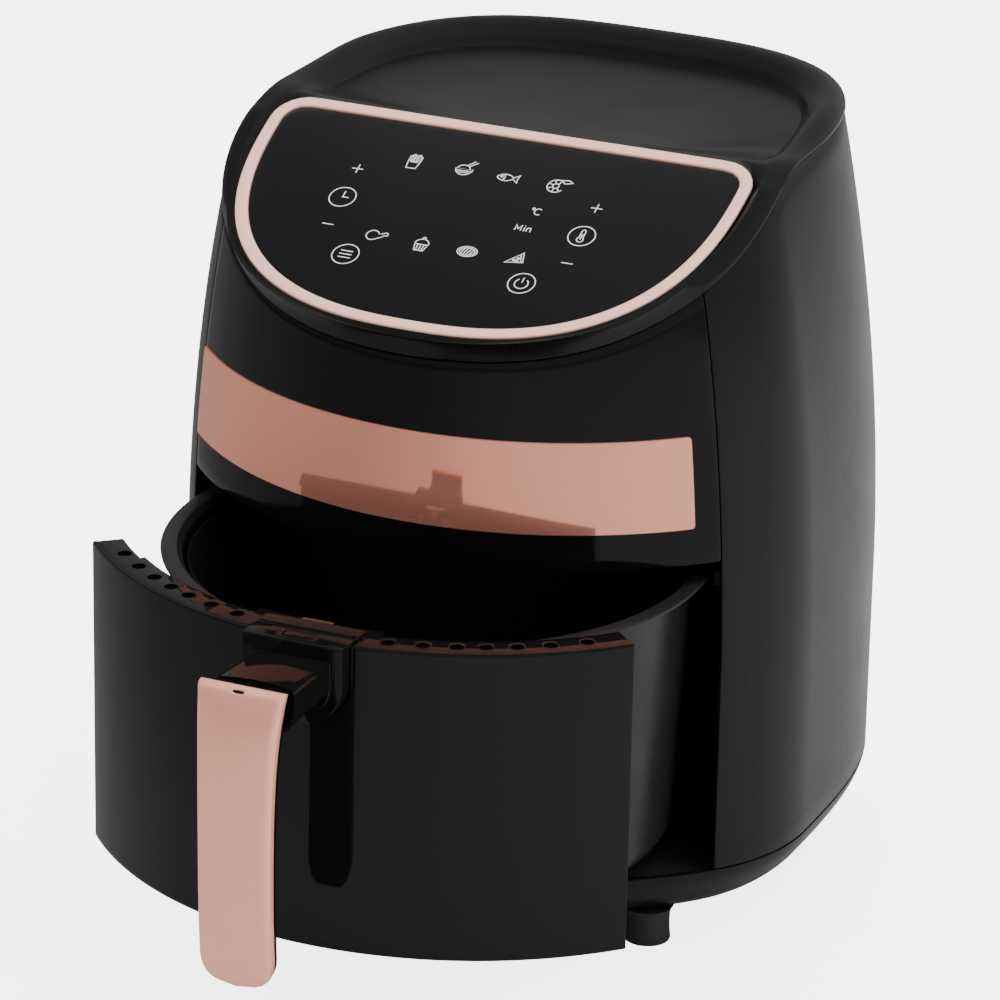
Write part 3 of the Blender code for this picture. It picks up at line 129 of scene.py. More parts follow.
def finish(name, colour, dusty=(0.05, 0.05, 0.05), dust=0.0, polished=0.1, dull=0.2, marks=30.0, grain=0.05,
           grainScale=900.0, metal=0.0, coat=0.0, specular=0.5, stretch=None):
    material = bpy.data.materials.new(name)
    material.use_nodes = True
    tree = material.node_tree
    shader = tree.nodes["Principled BSDF"]
    shader.inputs["Metallic"].default_value = metal
    shader.inputs["Coat Weight"].default_value = coat
    shader.inputs["Coat Roughness"].default_value = 0.03
    shader.inputs["Specular IOR Level"].default_value = specular

    def use(group, values, *wires):
        node = tree.nodes.new("ShaderNodeGroup")
        node.node_tree = group
        for label, value in values.items():
            node.inputs[label].default_value = value
        for output, socket in wires:
            tree.links.new(node.outputs[output], shader.inputs[socket])

    use(lintSpecks, {"Clean": (*colour, 1.0), "Dusty": (*dusty, 1.0), "Amount": dust}, ("Color", "Base Color"))
    if stretch:
        use(drawnLines, {"Stretch": stretch, "Low": polished, "High": dull}, ("Roughness", "Roughness"),
            ("Normal", "Normal"))
    else:
        use(wipeMarks, {"Scale": marks, "Polished": polished, "Dull": dull}, ("Roughness", "Roughness"))
        use(fineGrain, {"Scale": grainScale, "Strength": grain}, ("Normal", "Normal"))
    return material


glossBlack = finish("satinBlackShell", (0.004, 0.004, 0.0042), dust=0.05, polished=0.24, dull=0.29, grain=0.01,
                    specular=0.26)
fasciaBlack = finish("glossBlackFascia", (0.0035, 0.0035, 0.0038), dust=0.05, polished=0.09, dull=0.11, grain=0.004,
                     specular=0.2)
drawerBlack = finish("glossBlackDrawer", (0.0035, 0.0035, 0.0038), dust=0.05, polished=0.04, dull=0.05, grain=0.003,
                     specular=0.24)
satinBlack = finish("satinBlackMoulding", (0.012, 0.012, 0.0125), dust=0.1, polished=0.38, dull=0.5, grain=0.12)
roseGold = finish("roseGoldPlate", (0.97, 0.39, 0.28), dusty=(0.8, 0.35, 0.25), dust=0.05, polished=0.045,
                  dull=0.06, grain=0.003, metal=0.74)
gripGold = finish("roseGoldGrip", (0.97, 0.40, 0.30), dusty=(0.8, 0.35, 0.25), dust=0.05, polished=0.14,
                  dull=0.18, grain=0.006, metal=0.42, coat=0.6)
# rose gold of the panel ring, paler and less metallic than the band's: a painted highlight standing in for the ring's
# bright reflection
roseRingLightened = finish("paleRosePlate", (1.0, 0.58, 0.47), dusty=(0.8, 0.5, 0.4), dust=0.05, polished=0.18, dull=0.25,
                  grain=0.01, metal=0.3, coat=0.6)
panelGlass = finish("panelGlass", (0.0045, 0.0045, 0.0055), dust=0.04, polished=0.20, dull=0.23, marks=18.0,
                    grain=0.0, specular=0.32)
iconWhite = finish("iconWhite", (0.6, 0.6, 0.61), dusty=(0.5, 0.5, 0.5), dust=0.1, polished=0.4, dull=0.5)
panGrey = finish("panCoating", (0.012, 0.012, 0.0125), dusty=(0.05, 0.05, 0.05), dust=0.08, polished=0.26,
                 dull=0.38, grain=0.08, grainScale=1600.0, specular=0.3)
basketBlack = finish("basketCoating", (0.008, 0.008, 0.008), dusty=(0.04, 0.04, 0.04), dust=0.25, polished=0.3,
                     dull=0.45, grain=0.14, grainScale=1600.0)
brightSteel = finish("brightSteel", (0.66, 0.66, 0.68), dusty=(0.5, 0.5, 0.5), dust=0.08, polished=0.16,
                     dull=0.3, metal=1.0, stretch=(1.0, 12.0, 12.0))
pressedSteel = finish("pressedSteel", (0.50, 0.50, 0.52), dusty=(0.4, 0.4, 0.4), dust=0.08, polished=0.25,
                      dull=0.42, metal=1.0, stretch=(6.0, 6.0, 1.0))
heaterSheath = finish("heaterSheath", (0.16, 0.14, 0.13), dusty=(0.3, 0.2, 0.14), dust=0.3, polished=0.35, dull=0.5,
                      metal=1.0, grain=0.15)
ceramic = finish("ceramicWhite", (0.80, 0.78, 0.72), dusty=(0.6, 0.57, 0.5), dust=0.3, polished=0.35, dull=0.5)
boardGreen = finish("boardGreen", (0.02, 0.13, 0.06), dusty=(0.3, 0.27, 0.1), dust=0.5, polished=0.25, dull=0.4)
softRubber = finish("softRubber", (0.016, 0.016, 0.016), dusty=(0.09, 0.09, 0.09), dust=0.35, polished=0.55,
                    dull=0.75, grain=0.3)
print("finishes ready")


# mesh helpers
def spread(low, high, count):
    return [low + (high - low) * k / (count - 1) for k in range(count)]


def smooth(value):
    value = min(1.0, max(0.0, value))
    return value * value * (3.0 - 2.0 * value)


def loft(sections, closed=False, capped=True):
    bm = bmesh.new()
    rings = [[bm.verts.new(point) for point in section] for section in sections]
    count = len(rings[0])
    pairs = list(zip(rings, rings[1:]))
    if closed:
        pairs.append((rings[-1], rings[0]))
    for one, two in pairs:
        for k in range(count):
            n = (k + 1) % count
            bm.faces.new((one[k], one[n], two[n], two[k]))
    if capped and not closed:
        for ring in (rings[0], rings[-1]):
            for k in range(count // 2 - 1):
                bm.faces.new((ring[k], ring[k + 1], ring[count - 2 - k], ring[count - 1 - k]))
    return bm


def skin(sections):
    # skin with one flat face at each end
    bm = loft(sections, capped=False)
    bm.verts.ensure_lookup_table()
    count = len(sections[0])
    bm.faces.new(bm.verts[:count])
    bm.faces.new(bm.verts[len(bm.verts) - count:])
    return bm


def revolve(profile, centre, steps=96, axis="Z"):
    # profile is (radius, height) pairs; radius 0 closes a pole
    bm = bmesh.new()
    rings = []
    for radius, height in profile:
        ring = []
        for k in range(1 if radius <= 0.0 else steps):
            turn = 2.0 * math.pi * k / steps
            across, up = radius * math.cos(turn), radius * math.sin(turn)
            place = (across, up, height) if axis == "Z" else (across, height, up)
            ring.append(bm.verts.new(Vector(place) + Vector(centre)))
        rings.append(ring)
    if profile[0][0] > 0.0:
        rings.append(rings[0])
    for one, two in zip(rings, rings[1:]):
        for k in range(steps):
            corners = []
            for ring, index in ((one, k), (one, k + 1), (two, k + 1), (two, k)):
                corner = ring[index % len(ring)]
                if corner not in corners:
                    corners.append(corner)
            if len(corners) > 2:
                bm.faces.new(corners)
    return bm


def roundedBlock(low, high, radius=0.0005, segments=3):
    bm = bmesh.new()
    bmesh.ops.create_cube(bm, size=1.0)
    size = Vector(high) - Vector(low)
    bmesh.ops.scale(bm, vec=size, verts=bm.verts)
    bmesh.ops.translate(bm, vec=(Vector(low) + Vector(high)) / 2.0, verts=bm.verts)
    bmesh.ops.bevel(bm, geom=bm.edges[:], offset=radius, segments=segments, profile=0.5, affect="EDGES")
    return bm


def plate(outline, low, high, radius=0.0004, toPlace=None):
    # a flat outline given thickness, with a small round along both rims
    steps = [(low, radius), (low + radius * 0.3, radius * 0.3), (low + radius, 0.0),
             (high - radius, 0.0), (high - radius * 0.3, radius * 0.3), (high, radius)]
    middle = sum((Vector(p) for p in outline), Vector((0.0, 0.0))) / len(outline)
    bm = bmesh.new()
    rings = []
    for height, inset in steps:
        ring = []
        for k, point in enumerate(outline):
            before, after = Vector(outline[k - 1]), Vector(outline[(k + 1) % len(outline)])
            along = (after - before).normalized()
            inward = Vector((-along.y, along.x))
            if inward.dot(middle - Vector(point)) < 0.0:
                inward = -inward
            spot = Vector(point) + inward * inset
            ring.append(bm.verts.new(toPlace(spot, height) if toPlace else (spot.x, spot.y, height)))
        rings.append(ring)
    for one, two in zip(rings, rings[1:]):
        for k in range(len(outline)):
            n = (k + 1) % len(outline)
            bm.faces.new((one[k], one[n], two[n], two[k]))
    bm.faces.new(rings[0])
    bm.faces.new(rings[-1])
    return bm


def meshObject(name, bm=None):
    mesh = bpy.data.meshes.new(name)
    if bm:
        bmesh.ops.recalc_face_normals(bm, faces=bm.faces)
        bm.to_mesh(mesh)
        bm.free()
    piece = bpy.data.objects.new(name, mesh)
    bpy.context.scene.collection.objects.link(piece)
    return piece


def merge(bm, part):
    spare = bpy.data.meshes.new("spare")
    part.to_mesh(spare)
    part.free()
    bm.from_mesh(spare)
    bpy.data.meshes.remove(spare)


def shadeByAngle(piece, angle):
    mesh = piece.data
    mesh.polygons.foreach_set("use_smooth", [True] * len(mesh.polygons))
    mesh.set_sharp_from_angle(angle=math.radians(angle))


def settle(piece, name):
    # the evaluated mesh of a piece with modifiers, as plain geometry
    depsgraph = bpy.context.evaluated_depsgraph_get()
    mesh = bpy.data.meshes.new_from_object(piece.evaluated_get(depsgraph))
    mesh.name = name
    piece.modifiers.clear()
    piece.data = mesh


def addPiece(name, bm, material, body, replaced, angle=35.0, tree=None, values=None, place=None):
    piece = meshObject(name, bm)
    piece.data.materials.append(material)
    if tree:
        applyTree(piece, tree, dict(values, Material=material), name)
    if place:
        piece.data.transform(place)
    shadeByAngle(piece, angle)
    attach(piece, body)
    if replaced:
        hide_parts(*replaced)
    return piece


# geometry node trees for what repeats
def geometryTree(name, inputs, parts, wires, last):
    # what the last node gives is made real and painted
    ends = {"whole": ("GeometryNodeRealizeInstances", {}), "paint": ("GeometryNodeSetMaterial", {})}
    return nodeGroup(name, "GeometryNodeTree",
                     {"Geometry": "NodeSocketGeometry", **inputs, "Material": "NodeSocketMaterial"},
                     {"Geometry": "NodeSocketGeometry"}, {**parts, **ends}, wires + (
        last + " > whole.0", "whole.0 > paint.Geometry", "enter.Material > paint.Material", "paint.0 > leave.0"))


coilSpring = geometryTree("coilSpring", {"Turns": 5.0, "Radius": 0.002, "Length": 0.01, "Wire": 0.0003}, {
    "spiral": ("GeometryNodeCurveSpiral", {"Resolution": 20}),
    "ring": ("GeometryNodeCurvePrimitiveCircle", {"Resolution": 8}),
    "skin": ("GeometryNodeCurveToMesh", {"Fill Caps": True})}, (
    "enter.Turns > spiral.Rotations", "enter.Radius > spiral.Start Radius", "enter.Radius > spiral.End Radius",
    "enter.Length > spiral.Height", "enter.Wire > ring.Radius", "spiral.Curve > skin.Curve",
    "ring.Curve > skin.Profile Curve"), "skin.Mesh")

# round holes punched through a plate at the points of a helper object
roundHoles = geometryTree("roundHoles", {"Points": "NodeSocketObject", "Radius": 0.0027, "Depth": 0.01, "Sides": 32}, {
    "info": ("GeometryNodeObjectInfo", {}), "dots": ("GeometryNodeMeshToPoints", {}),
    "drill": ("GeometryNodeMeshCylinder", {}), "spots": ("GeometryNodeInstanceOnPoints", {}),
    "drills": ("GeometryNodeRealizeInstances", {}),
    "cut": ("GeometryNodeMeshBoolean", {"operation": "DIFFERENCE", "solver": "EXACT"})}, (
    "enter.Points > info.Object", "info.Geometry > dots.Mesh", "dots.Points > spots.Points",
    "enter.Sides > drill.Vertices", "enter.Radius > drill.Radius", "enter.Depth > drill.Depth",
    "drill.Mesh > spots.Instance", "spots.Instances > drills.0", "enter.Geometry > cut.Mesh 1",
    "drills.0 > cut.Mesh 2"), "cut.Mesh")

# a stack of slats between two heights, joined to the frame that is passed in
ventSlats = geometryTree("ventSlats", {
    "Count": 7, "Start": (0.0, 0.0, 0.0), "Pitch": (0.0, 0.0, 0.006), "Size": (0.07, 0.004, 0.003), "Tilt": -0.6}, {
    "line": ("GeometryNodeMeshLine", {}), "slat": ("GeometryNodeMeshCube", {}),
    "spots": ("GeometryNodeInstanceOnPoints", {}), "turn": ("ShaderNodeCombineXYZ", {}),
    "join": ("GeometryNodeJoinGeometry", {})}, (
    "enter.Count > line.Count", "enter.Start > line.Start Location", "enter.Pitch > line.Offset",
    "enter.Size > slat.Size", "line.Mesh > spots.Points", "slat.Mesh > spots.Instance", "enter.Tilt > turn.X",
    "turn.Vector > spots.Rotation", "enter.Geometry > join.Geometry", "spots.Instances > join.Geometry"),
    "join.Geometry")


def applyTree(piece, tree, values, name):
    modifier = piece.modifiers.new(tree.name, "NODES")
    modifier.node_group = tree
    for item in tree.interface.items_tree:
        if item.in_out == "INPUT" and item.name in values:
            modifier[item.identifier] = values[item.name]
    settle(piece, name)


def pointHelper(name, points):
    helper = meshObject(name)
    helper.data.from_pydata([tuple(p) for p in points], [], [])
    return helper


def quarter(shares):
    # cosine and sine of each share of a right angle
    return [(math.cos(share * math.pi / 2.0), math.sin(share * math.pi / 2.0)) for share in shares]


sweep = quarter(spread(0.0, 1.0, 7))


# the housing's plan and taper
plan = {"frontRadius": 0.1534, "frontAngle": math.radians(48.6), "centreY": 0.0568, "halfWidth": 0.1339,
        "backDepth": 0.1603, "backPower": 3.0}
taper = {"start": 0.118, "top": 0.3093, "width": 0.1532, "front": 0.035, "power": 1.953,
         "leanFront": 0.0065, "leanBack": 0.0116}
crease = {"low": 0.2483, "high": 0.3093, "startY": -0.110, "length": 0.140}


def planPoint(s):
    # 0 at the nose, 1 at the seam, 2 at the widest line, 3 at the back
    t = abs(s)
    radius, angle = plan["frontRadius"], plan["frontAngle"]
    seamX = radius * math.sin(angle)
    seamY = plan["centreY"] - radius * math.cos(angle)
    sideRadius = (plan["halfWidth"] - seamX) / (1.0 - math.sin(angle))
    if t <= 1.0:
        x, y = radius * math.sin(angle * t), plan["centreY"] - radius * math.cos(angle * t)
    elif t <= 2.0:
        heading = angle + (math.pi / 2.0 - angle) * (t - 1.0)
        x = seamX + sideRadius * (math.sin(heading) - math.sin(angle))
        y = seamY + sideRadius * (math.cos(angle) - math.cos(heading))
    else:
        turn = math.pi / 2.0 * (t - 2.0)
        x = plan["halfWidth"] * max(math.cos(turn), 0.0) ** (2.0 / plan["backPower"])
        y = seamY + sideRadius * math.cos(angle) + plan["backDepth"] * math.sin(turn) ** (2.0 / plan["backPower"])
    return math.copysign(x, s), y


frontY = planPoint(0.0)[1]
backY = planPoint(3.0)[1]
wideY = planPoint(2.0)[1]


def planNormal(s):
    t = abs(s)
    if t <= 2.0:
        angle = plan["frontAngle"]
        heading = angle * t if t <= 1.0 else angle + (math.pi / 2.0 - angle) * (t - 1.0)
        return Vector((math.copysign(math.sin(heading), s), -math.cos(heading)))
    x, y = planPoint(t)
    power = plan["backPower"] - 1.0
    normal = Vector(((x / plan["halfWidth"]) ** power / plan["halfWidth"],
                     ((y - wideY) / plan["backDepth"]) ** power / plan["backDepth"])).normalized()
    return Vector((math.copysign(normal.x, s), normal.y))


def tapered(x, y, z):
    share = max(0.0, (z - taper["start"]) / (taper["top"] - taper["start"])) ** taper["power"]
    depth = (y - frontY) / (backY - frontY)
    narrow = taper["width"] * share + taper["front"] * (share * (1.0 - depth)) ** 2
    return x * (1.0 - narrow), y + taper["leanFront"] * share * (1.0 - depth) - taper["leanBack"] * share * depth


def bodyPoint(s, z, inset=0.0):
    x, y = tapered(*planPoint(s), z)
    normal = planNormal(s)
    return Vector((x - normal.x * inset, y - normal.y * inset + shiftY, z))


def creaseZ(y):
    share = smooth((y - crease["startY"]) / crease["length"])
    return crease["low"] + (crease["high"] - crease["low"]) * share


def wallSection(s, low, high, thickness, levels, sink=0.0, edge=0.0007):
    # outer face with rounded top and bottom edges, then the inner face coming back down
    rounds = [(low, edge), (low + edge * 0.3, edge * 0.3), (low + edge, 0.0)]
    middle = [(z, 0.0) for z in spread(low + edge, high - edge, levels)[1:-1]]
    tops = [(high - edge, 0.0), (high - edge * 0.3, edge * 0.3), (high, edge)]
    outer = [bodyPoint(s, z, inset + sink) for z, inset in rounds + middle + tops]
    inner = [bodyPoint(s, z, thickness) for z, _ in reversed(rounds + middle + tops)]
    return outer + inner


# shells
shell = {"wall": 0.0025, "baseTop": 0.0375, "openingTop": 0.1682, "seamStart": 1.0025, "fasciaEnd": 0.9988,
         "edge": 0.0006, "creaseGap": 0.00035}
vent = {"halfWidth": 0.040, "low": 0.190, "high": 0.236}
gland = {"x": 0.035, "z": 0.062, "radius": 0.0065}


def backFace(x):
    return backY - plan["backDepth"] * (1.0 - (1.0 - (abs(x) / plan["halfWidth"]) ** 3.0) ** (1.0 / 3.0)) + shiftY


def housingPiece():
    half = spread(shell["seamStart"], 2.0, 40) + spread(2.0, 3.0, 80)[1:]
    stations = half + [-s for s in reversed(half[:-1])]
    pairs = [(s, 0.0) for s in stations]
    pairs[0] = (stations[0], shell["edge"])
    pairs[-1] = (stations[-1], shell["edge"])
    pairs.insert(1, (stations[0] + 0.004, shell["edge"] * 0.3))
    pairs.insert(2, (stations[0] + 0.012, 0.0))
    pairs.insert(-1, (stations[-1] - 0.012, 0.0))
    pairs.insert(-1, (stations[-1] - 0.004, shell["edge"] * 0.3))
    sections = []
    for s, sink in pairs:
        high = creaseZ(planPoint(s)[1]) - shell["creaseGap"]
        sections.append(wallSection(s, shell["baseTop"] + 0.0003, high, shell["wall"], 34, sink, shell["edge"]))
    return loft(sections)


def boxCutter(name, low, high):
    return meshObject(name, roundedBlock(low, high, 0.002, 4))


def cutPiece(piece, tools):
    for tool in tools:
        modifier = piece.modifiers.new(tool.name, "BOOLEAN")
        modifier.operation = "DIFFERENCE"
        modifier.solver = "EXACT"
        modifier.object = tool
    settle(piece, piece.name)
    for tool in tools:
        bpy.data.objects.remove(tool)


housing = addPiece("housingShell", housingPiece(), glossBlack, "housing", ["outer_housing"])
ventTool = boxCutter("ventTool", (-vent["halfWidth"], backY + shiftY - 0.035, vent["low"]),
                     (vent["halfWidth"], backY + shiftY + 0.02, vent["high"]))
glandTool = meshObject("glandTool", revolve([(0.0, -0.02), (gland["radius"] + 0.0002, -0.02),
                                             (gland["radius"] + 0.0002, 0.02), (0.0, 0.02)],
                                            (gland["x"], backFace(gland["x"]), gland["z"]), 48, "Y"))
cutPiece(housing, [ventTool, glandTool])
shadeByAngle(housing, 32.0)


def fasciaPiece():
    end = shell["fasciaEnd"]
    edge = shell["edge"]
    pairs = [(-end, edge), (-end + 0.0012, edge * 0.3), (-end + 0.004, 0.0)]
    pairs += [(s, 0.0) for s in spread(-end + 0.02, end - 0.02, 110)]
    pairs += [(end - 0.004, 0.0), (end - 0.0012, edge * 0.3), (end, edge)]
    sections = []
    for s, sink in pairs:
        high = creaseZ(planPoint(s)[1]) - shell["creaseGap"]
        sections.append(wallSection(s, shell["openingTop"], high, shell["wall"], 22, sink, 0.0009))
    return loft(sections)


addPiece("frontFascia", fasciaPiece(), fasciaBlack, "housing", ["front_fascia"], 32.0)

band = {"low": 0.1833, "high": 0.2204, "left": math.radians(48.1), "right": math.radians(44.4),
        "thickness": 0.0007, "edge": 0.0003, "corner": 0.0016}


def bandPiece():
    # plated strip with bright bevelled edges and softly rounded ends
    reachLeft = -band["left"] / plan["frontAngle"]
    reachRight = band["right"] / plan["frontAngle"]
    unit = plan["frontRadius"] * plan["frontAngle"]
    stations = []
    for share in spread(0.0, 1.0, 7):
        stations.append(reachLeft + band["corner"] / unit * (1.0 - math.cos(share * math.pi / 2.0)))
    stations += spread(reachLeft + band["corner"] / unit, reachRight - band["corner"] / unit, 120)[1:-1]
    for share in spread(1.0, 0.0, 7):
        stations.append(reachRight - band["corner"] / unit * (1.0 - math.cos(share * math.pi / 2.0)))
    sections = []
    for s in stations:
        fromEnd = min(s - reachLeft, reachRight - s) * unit
        cutIn = band["corner"] - math.sqrt(max(band["corner"] ** 2 - max(band["corner"] - fromEnd, 0.0) ** 2, 0.0))
        low, high, edge = band["low"] + cutIn, band["high"] - cutIn, band["edge"]
        out = -(gap + band["thickness"])
        sink = edge * max(0.0, 1.0 - fromEnd / edge)
        heights = [low + edge] + spread(low + edge * 2.0, high - edge * 2.0, 6) + [high - edge]
        front = [bodyPoint(s, low, out + edge)] + [bodyPoint(s, z, out + sink) for z in heights]
        front += [bodyPoint(s, high, out + edge)]
        backRow = [bodyPoint(s, z, 0.0001) for z in [high] + list(reversed(heights)) + [low]]
        sections.append(front + backRow)
    return loft(sections)


addPiece("trimBand", bandPiece(), roseGold, "housing", ["trim_band"], 25.0)
print("shells ready")

# panel plane
panel = {"slope": math.radians(25.76), "y": 0.001, "z": 0.3046, "halfWidth": 0.103, "drop": 0.1035, "rise": 0.0121,
         "power": 2.51, "corner": 0.0142, "ring": 0.005, "thickness": 0.0022, "count": 240}


def onSlope(point, height=0.0):
    c, s = math.cos(panel["slope"]), math.sin(panel["slope"])
    return Vector((point[0], panel["y"] + shiftY + point[1] * c - height * s, panel["z"] + point[1] * s + height * c))


def hitOutline(outline, hub, ray):
    best = None
    for i, start in enumerate(outline):
        edge = outline[(i + 1) % len(outline)] - start
        cross = ray.x * edge.y - ray.y * edge.x
        if abs(cross) < 1e-12:
            continue
        offset = start - hub
        distance = (offset.x * edge.y - offset.y * edge.x) / cross
        share = (offset.x * ray.y - offset.y * ray.x) / cross
        if distance > 0.0 and -1e-6 <= share <= 1.000001:
            best = hub + ray * distance
    return best


def panelOutline(inset, count=None):
    half, drop, rise = panel["halfWidth"] - inset, panel["drop"] - inset, panel["rise"] - inset
    corner = max(panel["corner"] - inset, 0.004)
    base = min(rise - corner, 0.0)
    pieces = [(0.0, rise), (half - corner, rise)]
    for k in range(1, 14):
        a = math.pi / 2.0 * (1.0 - k / 14.0)
        pieces.append((half - corner + corner * math.cos(a), rise - corner + corner * math.sin(a)))
    for a in spread(0.0, math.pi / 2.0, 60):
        x = half * max(math.cos(a), 0.0) ** (2.0 / panel["power"])
        pieces.append((x, base - (drop + base) * math.sin(a) ** (2.0 / panel["power"])))
    full = [Vector(p) for p in pieces] + [Vector((-x, v)) for x, v in reversed(pieces[1:-1])]
    count = count or panel["count"]
    hub = Vector((0.0, -0.035))
    rays = [Vector((math.cos(a), math.sin(a))) for a in
            (math.pi / 2.0 - 2.0 * math.pi * k / count for k in range(count))]
    return [hitOutline(full, hub, ray) for ray in rays]


# top cover
cover = {"lip": 0.0007, "rimZ": 0.3148, "rimStart": 0.035, "rimRise": 0.060, "rimWidth": 0.0175, "rimDrop": 0.0045,
         "valley": 0.0042, "proud": 0.0010, "stepWidth": 0.0028}


def rimZ(y):
    slope = panel["z"] + min(y - panel["y"], 0.0) * math.tan(panel["slope"])
    rise = smooth((y - cover["rimStart"]) / cover["rimRise"])
    lifted = creaseZ(y) + cover["lip"] + (cover["rimZ"] - crease["high"] - cover["lip"]) * rise
    difference = slope - lifted
    return lifted + 0.5 * (difference + math.sqrt(difference * difference + 0.003 * 0.003))


def coverPiece():
    seat = panelOutline(-0.00025)
    outline = [Vector(planPoint(s)) for s in spread(-3.0, 3.0, 721)[:-1]]
    hub = Vector((0.0, panel["y"] - 0.035 * math.cos(panel["slope"])))
    sections = []
    for k in range(panel["count"]):
        lip = onSlope(seat[k])
        lipFlat = Vector((lip.x, lip.y - shiftY))
        ray = (lipFlat - hub).normalized()
        spot = hitOutline(outline, hub, ray)
        low = creaseZ(spot.y) + 0.0003
        crest = rimZ(spot.y)
        x, y = tapered(spot.x, spot.y, low)
        outward = (Vector((x, y)) - hub).normalized()
        edge = Vector((x, y)) + outward * cover["proud"]
        room = (edge - lipFlat).dot(outward)
        inward = -outward
        rimmed = smooth((room - 0.045) / 0.045)
        width = min(cover["rimWidth"], room * 0.60, room - 0.0016)
        slopeEnd = crest - cover["rimDrop"] * smooth((room - 0.010) / 0.05)
        rise = crest - low

        def at(distance, height):
            flat = edge + inward * distance
            return Vector((flat.x, flat.y + shiftY, height))

        shoulder = min(0.0075, room * 0.45, room - 0.0030)
        power = 1.15 if shoulder > 0.0 else 0.62
        top = [at(0.0004, low), at(0.0001, low + 0.0002), at(0.0, low + 0.0006)]
        for c, s in quarter((0.15, 0.32, 0.50, 0.68, 0.84, 1.0)):
            top.append(at(shoulder * (1.0 - c) ** power, low + 0.0006 + (rise - 0.0006) * s))
        for share in (0.33, 0.66, 1.0):
            top.append(at(shoulder + (width - shoulder) * share, crest + (slopeEnd - crest) * share * share))
        stepWidth = cover["stepWidth"] * rimmed + 0.02 * max(width, 0.0) + 0.0002
        sunk = slopeEnd - cover["valley"] * rimmed
        for share in (0.2, 0.45, 0.7, 1.0):
            top.append(at(width + stepWidth * share, slopeEnd + (sunk - slopeEnd) * smooth(share)))
        base = width + stepWidth
        for share in (0.12, 0.28, 0.46, 0.64, 0.82, 0.95):
            height = sunk + (lip.z - sunk) * share - cover["valley"] * 0.55 * rimmed * math.sin(math.pi * share)
            top.append(at(base + (room - base) * share, height))
        top.append(lip.copy())
        top.append(onSlope(seat[k], -panel["thickness"] - 0.001))
        inner = at(max(0.0016, min(0.0035, room * 0.4)), low)
        lower = onSlope(seat[k], -panel["thickness"] - 0.003)
        count = len(top) - 2
        under = [lower]
        for share in spread(0.0, 1.0, count)[1:-1]:
            point = lower.lerp(inner, share)
            point.z -= (0.012 * rimmed + 0.0005) * math.sin(math.pi * share)
            under.append(point)
        under.append(inner)
        sections.append(top + under)
    return loft(sections, closed=True)


addPiece("topCover", coverPiece(), glossBlack, "housing", ["top_cover"], 34.0)


def ringPiece():
    outer, inner = panelOutline(0.0), panelOutline(panel["ring"])
    rounding = quarter((0.0, 0.33, 0.66, 1.0))
    sections = []
    for k in range(panel["count"]):
        toward = (inner[k] - outer[k]).normalized()
        row = [onSlope(outer[k], -panel["thickness"])]
        for c, s in rounding:
            row.append(onSlope(outer[k] + toward * 0.0007 * (1.0 - c), 0.0001 + 0.0007 * s))
        for c, s in reversed(rounding):
            row.append(onSlope(inner[k] - toward * 0.0007 * (1.0 - c), 0.0001 + 0.0007 * s))
        row.append(onSlope(inner[k], -panel["thickness"]))
        sections.append(row)
    return loft(sections, closed=True)


# the ring wears the lightened rose gold, a painted highlight
addPiece("panelRing", ringPiece(), roseRingLightened, "housing", ["panel_trim_ring"], 50.0)
addPiece("touchPanel", plate(panelOutline(panel["ring"] + 0.0002), -panel["thickness"], 0.0, 0.0003, onSlope),
         panelGlass, "housing", ["touch_panel"], 40.0)
print("panel ready")


# pictograms, drawn as thin raised ribbons
icons = {"stroke": 0.00042, "lift": 0.00004}


def arc(centre, radius, start, end, count=28, squash=1.0):
    return [(centre[0] + radius * math.cos(a), centre[1] + radius * squash * math.sin(a))
            for a in (math.radians(v) for v in spread(start, end, count))]


